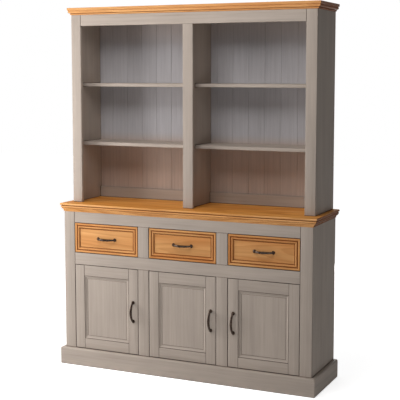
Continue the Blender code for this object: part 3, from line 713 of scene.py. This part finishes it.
def run_round(node, figure, profile, low, high, kind):
    """Three lengths round a carcase: corner + share times the overhang outwards + height upwards.

    Each length ends a hair before the mitre, and none touches the carcase, so no two faces coincide.
    The three stand for the node as one piece, and figure names their seeds.
    """
    side_out, front_out = overhang(node, low, high)
    profile = np.stack([np.maximum(profile[:, 0], 2 * HAIR / side_out), profile[:, 1]], axis=1)
    corners = np.array([(low.x, high.y, 0), (low.x, low.y, 0), (high.x, low.y, 0), (high.x, high.y, 0)])
    outs = np.array([(-side_out, 0, 0), (-side_out, -front_out, 0), (side_out, -front_out, 0), (side_out, 0, 0)])
    runs = []
    for start, grain, mitres in ((0, ALONG_Y, (0, 1)), (1, ALONG_X, (1, 1)), (2, ALONG_Y, (1, 0))):
        origins = corners[start:start + 2].copy()
        along = (origins[1] - origins[0]) / np.linalg.norm(origins[1] - origins[0])
        origins += np.outer((mitres[0], -mitres[1]), along * HAIR)
        sections = carried(profile, origins, outs[start:start + 2], UPWARD)
        runs.append(lofted(sections, grain, f"{figure}{start}", soaked=RETURN_PAINTED_SHADE if grain == ALONG_Y else 0.0))
    piece(f"{node}_run", runs, CARRIED[kind], node)
    print(node, "stands out", round(side_out, 4), "at the sides and", round(front_out, 4), "in front")


print("each mitre is open by", 2 * HAIR / MM, "mm")


# %% [markdown]
# ### Cornice
#
# The cornice crowns the hutch. From below, its section is a small bead, a quirk, a wide hollow that
# swings out, a second quirk and a rounded top edge. It could be copied from the photograph as an outline,
# but its members are arcs, as the cutter made them, so arcs give it with fewer numbers.

# %% Cornice
low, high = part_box("cornice")
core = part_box("hutch_top_board")
side_out = overhang("cornice", *core)[0]
foot, head, edge = low.z, high.z, 1.6 * MM
profile = np.concatenate([
    [(0.0, foot), (0.03, foot + 1.5 * MM), (0.14, foot + 1.8 * MM)],
    arc((0.14, foot + 5.0 * MM), (0.17, 3.2 * MM), -80, 60, 8),
    [(0.22, foot + 8.4 * MM), (0.23, foot + 9.4 * MM), (0.36, foot + 9.7 * MM)],
    arc((0.36, foot + 19.5 * MM), (0.46, 9.8 * MM), -86, -4, 14),
    [(0.76, foot + 20.2 * MM), (0.70, foot + 21.6 * MM)],
    arc((0.94, foot + 22.0 * MM), (0.24, 3.8 * MM), 176, 100, 6),
    [(0.97, foot + 25.9 * MM), (1.0, foot + 26.4 * MM)],
    arc((1 - edge / side_out, head - edge), (edge / side_out, edge), 0, 90, 5),
    [(0.0, head)],
])
run_round("cornice", "cornice_g", profile, *core, "honey_pine")


# %% [markdown]
# ## The worktop
#
# One thick board, worked on its front and side edges to a half-round nose. Under the nose a quirk cuts
# in, and a fuller member swells out below it. A bevelled box would come close, but not with the quirk, so
# the edge's section is wrapped round three sides and the faces between are closed.

# %% Worktop
def nosed_board(profile, low, high, grain, name):
    """A board whose edge section (how far in, height) is wrapped round its left, front and right."""
    corners = np.array([(low.x, high.y), (low.x, low.y), (high.x, low.y), (high.x, high.y)])
    inward = np.array([(1, 0), (1, 1), (-1, 1), (-1, 0)])
    points = np.empty((len(profile), 4, 3))
    points[:, :, :2] = corners[None] + profile[:, :1, None] * inward[None]
    points[:, :, 2] = profile[:, 1:]
    index = np.arange(len(profile) * 4).reshape(-1, 4)
    sides = np.stack([index[:-1, :-1], index[:-1, 1:], index[1:, 1:], index[1:, :-1]], axis=-1)
    faces = sides.reshape(-1, 4).tolist() + [index[0].tolist(), index[-1].tolist()]
    faces.append(index[:, 0].tolist() + index[::-1, 3].tolist())
    return {"points": points.reshape(-1, 3), "faces": faces, "grain": grain, "seed": seed_of(name), "soaked": 0.0}


low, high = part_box("worktop")
nose, inner = 6.2 * MM, 12 * MM
profile = np.concatenate([
    [(inner, low.z), (8.5 * MM, low.z)],
    arc((8.0 * MM, low.z + 5.2 * MM), (4.2 * MM, 5.2 * MM), 270, 110, 12),
    [(7.4 * MM, high.z - 2 * nose - 0.8 * MM), (7.0 * MM, high.z - 2 * nose)],
    arc((nose, high.z - nose), (nose, nose), 270, 90, 16),
    [(inner, high.z)],
])
piece("worktop_board", [nosed_board(profile, low, high, ALONG_X, "worktop_board_c")],
      CARRIED["worktop_pine"], "worktop")
print("worktop thick", round(high.z - low.z, 4))


# %% [markdown]
# ### Moulding under the worktop
#
# A bead and a hollow carry the eye from the top rail out to the worktop's nose. It is a length of its
# own, glued on under the board, so it is made like the cornice: three mitred lengths round the base.

# %% Moulding under the worktop
low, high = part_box("worktop_moulding")
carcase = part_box("base_stile_left")[0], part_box("base_stile_right")[1]
carcase[1].y = high.y
foot, head = low.z, high.z
profile = np.concatenate([
    [(0.0, foot), (0.03, foot + 2.4 * MM), (0.12, foot + 2.8 * MM)],
    arc((0.12, foot + 5.0 * MM), (0.18, 2.2 * MM), -80, 70, 8),
    [(0.24, foot + 7.4 * MM), (0.30, foot + 7.8 * MM)],
    arc((0.94, foot + 7.8 * MM), (0.64, 8.4 * MM), 180, 100, 12),
    [(0.86, foot + 16.3 * MM)],
    arc((0.88, foot + 17.4 * MM), (0.12, 1.1 * MM), -80, 80, 6),
    [(0.80, foot + 18.7 * MM), (0.78, head), (0.0, head)],
])
run_round("worktop_moulding", "moulding_e", profile, *carcase, "worktop_pine")


# %% [markdown]
# ### Plinth
#
# The plinth is a plain board on edge with its upper edge rounded over, so that a foot doesn't chip it. A
# bevelled box would show the same edge, but no mitres, so the same three lengths are used, with one
# quarter round for a section.

# %% Plinth
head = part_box("plinth")[1].z
side_out = overhang("plinth", *carcase)[0]
round_over, foot_edge = 9.0 * MM, 0.8 * MM
profile = np.concatenate([
    [(0.0, 0.0), (1 - foot_edge / side_out, 0.0), (1.0, foot_edge), (1.0, head - 9.6 * MM)],
    arc((0.62, head - round_over), (0.38, round_over), 0, 90, 12),
    [(0.0, head)],
])
run_round("plinth", "plinth", profile, *carcase, "taupe_paint")


# %% [markdown]
# ## Boards of the face frame
#
# The stiles run through and the rails stand between them. Their front edges are rubbed round before the
# paint goes on, and the fine dark line of each joint shows where a rail ends. A Bevel modifier rounds all
# edges alike; here only the front ones are round, and a small shoulder at a rail's end makes the line.

# %% Rounded boards
def rounded_board(low, high, grain, name, ease=1.6 * MM, shoulder=(0.0, 0.0), end_ease=0.8 * MM):
    """A board along X or Z whose two front edges are rounded, its ends eased or stepped back.

    The section is a rectangle with a quarter circle at both front corners. Stations along the board
    repeat it, and near the ends it is drawn in by the ease or pushed back by the shoulder.
    """
    across = 2 if grain == ALONG_X else 0
    a0, a1, y0, y1 = low[across], high[across], low[1], high[1]
    section = np.concatenate([
        [(a0, y1)],
        arc((a0 + ease, y0 + ease), (ease, ease), 180, 270, 5),
        arc((a1 - ease, y0 + ease), (ease, ease), 270, 360, 5),
        [(a1, y1)],
    ])
    start, end = low[grain], high[grain]
    wide, deep = shoulder
    if wide:
        inner = wide + end_ease
        stations = [(start, 0, deep), (start + wide, 0, deep), (start + wide, 0, end_ease), (start + inner, 0, 0)]
        stations += [(end - inner, 0, 0), (end - wide, 0, end_ease), (end - wide, 0, deep), (end, 0, deep)]
    else:
        stations = [(start, end_ease, end_ease), (start + end_ease, 0, 0)]
        stations += [(end - end_ease, 0, 0), (end, end_ease, end_ease)]
    place, drawn_in, pushed_back = np.hsplit(np.array(stations), 3)
    points = np.empty((len(stations), len(section), 3))
    points[:, :, grain] = place
    points[:, :, across] = np.clip(section[None, :, 0], a0 + drawn_in, a1 - drawn_in)
    points[:, :, 1] = np.clip(section[None, :, 1], y0 + pushed_back, y1)
    return lofted(points, grain, name)


print("points of a plain board", len(rounded_board((0, 0, 0), (1, 1, 1), ALONG_Z, "trial")["points"]))


# %% Face frame
NO_SHOULDER = (0.0, 0.0)
RAIL_JOINT = (1.4 * MM, 3.0 * MM)
MULLION_JOINT = (0.8 * MM, 1.5 * MM)
FACE_FRAME = {  # how the boards' names start, which way they run, and how wide and deep their shoulders are
    "hutch_stile_": (ALONG_Z, NO_SHOULDER),
    "hutch_frieze_rail": (ALONG_X, RAIL_JOINT),
    "base_stile_": (ALONG_Z, NO_SHOULDER),
    "base_top_rail": (ALONG_X, RAIL_JOINT),
    "base_mid_rail": (ALONG_X, RAIL_JOINT),
    "drawer_mullion_": (ALONG_Z, MULLION_JOINT),
    "door_mullion_": (ALONG_Z, MULLION_JOINT),
}
face_frame_nodes = [(node, start) for start in FACE_FRAME for node in NODES if node.startswith(start)]
for node, start in face_frame_nodes:
    grain, shoulder = FACE_FRAME[start]
    solid = rounded_board(*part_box(node), grain, node, shoulder=shoulder)
    piece(f"{node}_board", [solid], CARRIED["taupe_paint"], node)
print("boards of the face frame", len(face_frame_nodes))


# %% [markdown]
# ### Shelves
#
# The four shelves are thin boards let into the sides and the divider. The joiner's solids would do, but a
# sharp edge catches no light, so they are rounded boards too, with a smaller radius and no shoulder.

# %% Shelves
shelf_nodes = [node for node in NODES if node.startswith("hutch_shelf_")]
for node in shelf_nodes:
    piece(f"{node}_board", [rounded_board(*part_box(node), ALONG_X, node, ease=1.5 * MM)], CARRIED["taupe_paint"], node)
print("shelves", len(shelf_nodes))


# %% [markdown]
# ## Frames with mitred corners
#
# Drawer fronts and doors both have a moulding that runs round a rectangle, four lengths mitred at the
# corners, each with its own grain. The same function makes both: on a drawer front the section grows
# towards the middle, and on a door away from it.

# %% Mitred frames
BACKWARD = np.array([(0, 1.0, 0)] * 2)
PLAY = 1.0 * MM


def mitred_frame(profile, low, high, front, name, inward=1.0, apart=0.0, soaked=0.0):
    """Four lengths round a rectangle: corner + first number inwards or outwards + second number back."""
    corners = np.array([(low[0], low[1]), (high[0], low[1]), (high[0], high[1]), (low[0], high[1])])
    diagonals = np.array([(1, 1), (-1, 1), (-1, -1), (1, -1)]) * inward
    lengths = []
    for side in range(4):
        pair = [side, (side + 1) % 4]
        origins, outs = np.insert(corners[pair], 1, front, axis=1), np.insert(diagonals[pair], 1, 0, axis=1)
        along = origins[1] - origins[0]
        along /= np.linalg.norm(along)
        origins += np.outer((1, -1), along * apart)
        grain = ALONG_X if side % 2 == 0 else ALONG_Z
        lengths.append(lofted(carried(profile, origins, outs, BACKWARD), grain, f"{name}{side}", soaked))
    return lengths


def less_play(node):
    """A node's box, made smaller by the play that shows as a gap all round it."""
    low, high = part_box(node)
    return low + Vector((PLAY, 0, PLAY)), high - Vector((PLAY, 0, PLAY))


print("play round doors and drawer fronts", PLAY / MM, "mm")


# %% [markdown]
# ### Drawer fronts
#
# Each front is a pine board framed by its own moulding: a rounded lip, a deep groove, a bead, a step down
# and a quirk, and inside that the flat field. Its section gives, in millimetres, how far in and how far
# back. Each front is a little darker than the one to its left, by painted shade.

# %% Drawer fronts
# painted shade: fronts further right are darker, as the light from the left falls off
FRONT_PAINTED_SHADE = {"left": 0.0, "middle": 0.08, "right": 0.12}
s = np.linspace(0, 1, 13)[1:]
lip = arc((2.4, 2.4), (2.4, 2.4), 180, 270, 6)
groove = np.stack([10.4 + 7.4 * s, 0.5 + 5.6 * np.sin(np.pi * s) ** 0.7 + 0.6 * s], axis=1)
bead = np.stack([17.8 + 7.2 * s, 1.1 - 1.1 * np.sin(np.pi * s) + 1.2 * s], axis=1)
step = np.stack([25.0 + 4.2 * s, 2.3 + 6.2 * np.sin(np.pi * s / 2) ** 1.3], axis=1)
quirk = [(30.6, 8.5), (31.2, 6.8), (32.4, 6.0)]
FRONT_SECTION = np.concatenate([lip, [(9.6, 0.1), (10.4, 0.5)], groove, bead, step, quirk]) * MM


def drawer_front(node, soaked):
    """Four mitred lengths round the front's edge, closed behind, and the flat field between them."""
    low, high = less_play(node)
    thick = high.y - low.y
    closed = np.concatenate([FRONT_SECTION, [(FRONT_SECTION[-1, 0], thick), (FRONT_SECTION[0, 0], thick)]])
    frame_low, frame_high = (low.x, low.z), (high.x, high.z)
    solids = mitred_frame(closed, frame_low, frame_high, low.y, node, apart=0.4 * HAIR, soaked=soaked)
    inset, depth = FRONT_SECTION[-1]
    field_low = Vector((low.x + inset, low.y + depth, low.z + inset))
    field_high = Vector((high.x - inset, high.y, high.z - inset))
    field = rounded_board(field_low, field_high, ALONG_X, f"{node}_field", ease=0.1 * MM, end_ease=0.1 * MM)
    return solids + [{**field, "soaked": soaked}]


for bay, soaked in FRONT_PAINTED_SHADE.items():
    node = f"drawer_front_{bay}"
    piece(f"{node}_pine", drawer_front(node, soaked), CARRIED["honey_pine"], node)
print("drawer fronts", list(FRONT_PAINTED_SHADE))


# %% [markdown]
# ## Doors
#
# Two stiles run a door's full height and two rails stand between them. A moulded stick with a sharp quirk
# beside it lines the opening, mitred at its corners, and holds the panel from in front. One solid could
# have all of it pressed in, but then the joints of rail, stick and stile wouldn't show as lines.

# %% Sizes of a door
STILE_FLAT, TOP_FLAT, BOTTOM_FLAT, STICK = 58 * MM - PLAY, 60 * MM - PLAY, 57 * MM - PLAY, 17 * MM
slope = np.linspace(0, 1, 13)
STICK_SECTION = np.concatenate([
    [(17.0, 3.6), (15.8, 3.2), (14.6, 1.7)],
    np.stack([13.8 - 8.4 * slope, 1.6 + 4.6 * (1 - np.cos(np.pi * slope)) / 2], axis=1),
    [(0.8, 6.4), (0.0, 6.6), (0.0, 8.7), (16.5, 8.7), (16.5, 19.0), (17.0, 19.0)],
]) * MM


def door_sizes(bay):
    """The door's box less its play, and the opening inside its four sticks as corners of x and z."""
    low, high = less_play(f"door_frame_{bay}")
    opening_low = (low.x + STILE_FLAT + STICK, low.z + BOTTOM_FLAT + STICK)
    opening_high = (high.x - STILE_FLAT - STICK, high.z - TOP_FLAT - STICK)
    return low, high, opening_low, opening_high


opening = np.array(door_sizes("left")[2:])
print("left door's opening", (opening[1] - opening[0]).round(4))


# %% [markdown]
# ### Bores for the hinges
#
# A concealed hinge sits with its cup in a round bore in the back of the stile. The bore shows when a door
# is open. A hole can't be part of a simple grid, so this is the one place where a Boolean cuts it, with a
# cylinder that reaches a little out of the wood, and the result is read back as numbers.

# %% Bores
CUP_EDGE, CUP_RADIUS, CUP_DEPTH, CUP_PLAY = 22.5 * MM, 17.5 * MM, 11.5 * MM, 0.3 * MM
BORE_SIDES, REACH_OUT = 40, 2 * MM


def bored(solid, holes, radius, depth):
    """The solid with round holes sunk into its back: the solid less a cylinder at each hole."""
    blank_mesh = solid_mesh("blank", solid["points"], solid["faces"])
    cutter_mesh = bpy.data.meshes.new("bores")
    bm = bmesh.new()
    for x, y, z in holes:
        middle = Matrix.Translation((x, y - depth / 2 + REACH_OUT / 2, z))
        bmesh.ops.create_cone(bm, cap_ends=True, segments=BORE_SIDES, radius1=radius, radius2=radius,
                              depth=depth + REACH_OUT, matrix=middle @ Matrix.Rotation(math.pi / 2, 4, "X"))
    bm.to_mesh(cutter_mesh)
    bm.free()
    blank = bpy.data.objects.new("blank", blank_mesh)
    cutter = bpy.data.objects.new("bores", cutter_mesh)
    for obj in (blank, cutter):
        bpy.context.scene.collection.objects.link(obj)
    cut = blank.modifiers.new("bores", "BOOLEAN")
    cut.solver = "EXACT"
    cut.object = cutter
    done = bpy.data.meshes.new_from_object(blank.evaluated_get(bpy.context.evaluated_depsgraph_get()))
    points, faces = numbers(done.vertices, "co", 3), [list(face.vertices) for face in done.polygons]
    for obj in (blank, cutter):
        bpy.data.objects.remove(obj)
    for mesh in (blank_mesh, cutter_mesh, done):
        bpy.data.meshes.remove(mesh)
    return {**solid, "points": points, "faces": faces}


print("bores", round((CUP_DEPTH + CUP_PLAY) / MM, 1), "mm deep")


# %% Door stiles
def bore_places(bay, edge, side, back):
    """The bores' centres: so far in from the stile's edge, at the heights of the two hinges."""
    boxes = [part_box(f"door_hinge_{bay}_{which}") for which in ("lower", "upper")]
    return [(edge - side * (CUP_EDGE - PLAY), back, (low.z + high.z) / 2) for low, high in boxes]


def hinge_side(bay, low, high):
    """1 where the hinges are on the door's right, -1 where they are on its left."""
    cup_low, cup_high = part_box(f"door_hinge_{bay}_lower")
    return 1 if cup_low.x + cup_high.x > low.x + high.x else -1


def stile(bay, side, low, high):
    """One upright board of a door, on its left (-1) or right (1), bored where the hinges are."""
    edge = low.x if side < 0 else high.x
    inner = edge - side * STILE_FLAT
    near, far = Vector((min(edge, inner), low.y, low.z)), Vector((max(edge, inner), high.y, high.z))
    board = rounded_board(near, far, ALONG_Z, f"door_frame_{bay}{side}", ease=1.3 * MM, end_ease=1.2 * MM)
    if side != hinge_side(bay, low, high):
        return board
    return bored(board, bore_places(bay, edge, side, high.y), CUP_RADIUS + CUP_PLAY, CUP_DEPTH + CUP_PLAY)


print("left door's hinges are on side", hinge_side("left", *less_play("door_frame_left")))


# %% Door frames
DOOR_RAIL_JOINT = (1.2 * MM, 2.4 * MM)


def door_frame(bay):
    """Stiles, rails and mitred sticks of one door."""
    low, high, opening_low, opening_high = door_sizes(bay)
    name = f"door_frame_{bay}"
    solids = [stile(bay, side, low, high) for side in (-1, 1)]
    left, right = low.x + STILE_FLAT + HAIR, high.x - STILE_FLAT - HAIR
    for tag, foot, head in (("top", high.z - TOP_FLAT, high.z), ("bottom", low.z, low.z + BOTTOM_FLAT)):
        near, far = Vector((left, low.y, foot)), Vector((right, high.y, head))
        solids.append(rounded_board(near, far, ALONG_X, f"{name}{tag}", ease=1.5 * MM,
                                    shoulder=DOOR_RAIL_JOINT, end_ease=0.3 * MM))
    return solids + mitred_frame(STICK_SECTION, opening_low, opening_high, low.y, name, inward=-1.0)


BAYS = ("left", "middle", "right")
for bay in BAYS:
    piece(f"door_frame_{bay}_sticks", door_frame(bay), CARRIED["taupe_paint"], f"door_frame_{bay}")
print("door frames", len(BAYS))


# %% [markdown]
# ### Door panels
#
# Behind the sticks lies a thin panel. Its edge laps behind them, and its field comes forward to fill the
# opening with a little play, so a fine line shows all round. Two boxes, one on the other, would show the
# same, but they would be two solids. This is one: five rectangles from back to front, lofted like
# everything else.

# %% Door panels
FIELD_PLAY, FIELD_DEEP, FIELD_EASE = 0.9 * MM, 6.8 * MM, 0.8 * MM
LAP = STICK - 1.0 * MM


def fielded_panel(bay):
    """Rectangles from back to front: the lap, limited by the panel's box, and then the opening less play."""
    low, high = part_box(f"door_panel_{bay}")
    frame_low, _, (x0, z0), (x1, z1) = door_sizes(bay)
    outer = [max(low.x, x0 - LAP), max(low.z, z0 - LAP), min(high.x, x1 + LAP), min(high.z, z1 + LAP)]
    edges = np.array([outer, outer] + [[x0, z0, x1, z1]] * 3)
    edges += np.outer((0, 0, FIELD_PLAY, FIELD_PLAY, FIELD_PLAY + FIELD_EASE), (1, 1, -1, -1))
    field = frame_low.y + FIELD_DEEP
    depths = np.array([high.y, low.y, low.y, field + FIELD_EASE, field])
    sections = np.stack([edges[:, [0, 2, 2, 0]], np.repeat(depths[:, None], 4, axis=1), edges[:, [1, 1, 3, 3]]],
                        axis=-1)
    return lofted(sections, ALONG_Z, f"panel_{bay}")


for bay in BAYS:
    piece(f"door_panel_{bay}_field", [fielded_panel(bay)], CARRIED["taupe_paint"], f"door_panel_{bay}")
print("door panels", len(BAYS))


# %% [markdown]
# ## Handles
#
# A bow handle is a flattened strap, cast in one with two turned feet. A curve with a round bevel would
# give the arch at once, but as a wire, without the flat faces that catch the light. So the strap's section
# is carried along the arch, thin at the neck and full in the middle, and each foot is a section spun
# about its own line.

# %% Feet of the handles
FOOT_CENTRES, FOOT_SIDES = 104 * MM, 28
FOOT_SECTION = np.concatenate([
    [(9.5, 0.0), (9.5, 1.2)],
    arc((8.9, 1.2), (0.6, 0.7), 0, 90, 3)[1:],
    arc((8.9, 4.2), (3.0, 2.3), 270, 190, 6),
    arc((5.2, 4.6), (1.0, 0.9), -40, 90, 6),
    arc((0.0, 5.4), (5.0, 1.8), 20, 60, 5),
]) * MM


def spun_foot(x):
    """A section of (radius, height) spun about the foot's own line: (x + r cos t, -height, r sin t)."""
    turn = np.linspace(0, 2 * math.pi, FOOT_SIDES, endpoint=False)
    radius, height = FOOT_SECTION[:, :1], FOOT_SECTION[:, 1:]
    return np.stack([x + radius * np.cos(turn), -height * np.ones_like(turn), radius * np.sin(turn)], axis=-1)


print("a foot is", round(2 * FOOT_SECTION[:, 0].max() / MM, 1), "mm wide")


# %% Bows of the handles
BOW_STEPS, BOW_SIDES = 48, 24
BOW_STARTS, BOW_REACH = 3.5 * MM, 29.0 * MM
BOW_HALF_THICK, BOW_HALF_WIDE = 5.0 * MM, 6.4 * MM
ARCH_POWER, FLATTENING = 0.65, 0.55
NECK, BELLY = 0.80, 0.20


def swept_bow():
    """A strap carried along the arch y = -(start + rise sin^0.65), as wide as neck + belly times sin squared.

    The strap's section is an ellipse with its cosine and sine raised to 0.55, which flattens its faces.
    """
    along = np.linspace(0, 1, BOW_STEPS + 1)
    arch = np.sin(np.pi * along)
    out = -BOW_STARTS - (BOW_REACH - BOW_STARTS) * arch**ARCH_POWER
    centre = np.stack([FOOT_CENTRES * (along - 0.5), out, 0 * along], axis=1)
    swell = NECK + BELLY * arch**2
    tangent = np.gradient(centre, axis=0)
    tangent /= np.linalg.norm(tangent, axis=1, keepdims=True)
    upward = np.array([(0, 0, 1.0)])
    outward = np.cross(tangent, upward)
    turn = np.linspace(0, 2 * math.pi, BOW_SIDES, endpoint=False)
    flat_cos, flat_sin = (np.sign(wave) * np.abs(wave) ** FLATTENING for wave in (np.cos(turn), np.sin(turn)))
    ring = BOW_HALF_THICK * outward[:, None] * flat_cos[None, :, None]
    ring = ring + BOW_HALF_WIDE * upward[:, None] * flat_sin[None, :, None]
    return centre[:, None] + swell[:, None, None] * ring


print("a bow stands out", round(-swept_bow()[..., 1].min() / MM, 1), "mm")


# %% [markdown]
# ### Handles in their places
#
# A handle lies across a drawer and stands upright on a door. Both are the same casting, so it is worked
# out lying down and turned as numbers, because a turned object would lose its turn in the export.

# %% Handles
BOW_SHARP_FROM = 40


def handle_solids(spot, upright):
    """Feet and bow of one handle, turned upright if it stands, and moved to its place."""
    solids = []
    for points in (spun_foot(-FOOT_CENTRES / 2), spun_foot(FOOT_CENTRES / 2), swept_bow()):
        if upright:
            points = np.stack([points[..., 2], points[..., 1], -points[..., 0]], axis=-1)
        solids.append(lofted(points + np.array(spot), ALONG_X, "handle"))
    return solids


handle_nodes = [node for node in NODES if node.startswith("handle_")]
for node in handle_nodes:
    low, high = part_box(node)
    spot = ((low.x + high.x) / 2, high.y, (low.z + high.z) / 2)
    piece(f"{node}_bow", handle_solids(spot, upright="door" in node), BRONZE, node, sharp=BOW_SHARP_FROM)
print("handles", len(handle_nodes))


# %% [markdown]
# ## Floor and room
#
# The photograph is cut out on white. More light would make a floor white too, but it would also wash out
# the dresser. So the room is white only to the camera and in reflections, and lights the dresser hardly
# at all. The floor is a pale plane that glows for the same rays, less near the dresser than farther off,
# so that it keeps the dresser's shadow and has no visible edge.

# %% Room
WHITE = (1.0, 1.0, 1.0, 1.0)
ROOM_LIGHT = (0.012, 0.012, 0.012, 1.0)


def seen_or_mirrored(w):
    """1 where the ray comes from the camera, a reflection or glass, and 0 where it only carries light."""
    path = w.node("ShaderNodeLightPath").outputs
    direct = w.sum("MAXIMUM", path["Is Camera Ray"], path["Is Glossy Ray"])
    return w.sum("MAXIMUM", direct, path["Is Transmission Ray"])


world = bpy.data.worlds.new("room")
world.use_nodes = True
bpy.context.scene.world = world
w = Wiring(world.node_tree)
w.feed(world.node_tree.nodes["Background"].inputs["Color"], w.mix(seen_or_mirrored(w), ROOM_LIGHT, WHITE))
print("room light", ROOM_LIGHT[0])


# %% Floor
FLOOR_HALF = 12.0
FLOOR_GREY = (0.75, 0.75, 0.75, 1.0)
GLOW_NEAR, GLOW_FAR = 0.80, 1.0
GLOW_FROM, GLOW_TO = 0.7, 2.2

floor_mesh = bpy.data.meshes.new("floor")
floor_mesh.from_pydata(
    [(x * FLOOR_HALF, y * FLOOR_HALF, 0.0) for x, y in ((-1, -1), (1, -1), (1, 1), (-1, 1))], [], [(0, 1, 2, 3)]
)
floor = bpy.data.objects.new("floor", floor_mesh)
bpy.context.scene.collection.objects.link(floor)
floor_material = bpy.data.materials.new("floor")
floor_material.use_nodes = True
w = Wiring(floor_material.node_tree)
shader = floor_material.node_tree.nodes["Principled BSDF"]
for socket, value in (("Base Color", FLOOR_GREY), ("Roughness", 0.9), ("Specular IOR Level", 0.0),
                      ("Emission Color", WHITE)):
    shader.inputs[socket].default_value = value
place = w.node("ShaderNodeTexCoord").outputs["Object"]
distance = w.node("ShaderNodeVectorMath", {0: place}, operation="LENGTH").outputs["Value"]
glow = w.spread(distance, GLOW_FROM, GLOW_TO, GLOW_NEAR, GLOW_FAR)
w.feed(shader.inputs["Emission Strength"], w.sum("MULTIPLY", seen_or_mirrored(w), glow))
floor_mesh.materials.append(floor_material)
print("floor", 2 * FLOOR_HALF, "metres wide")
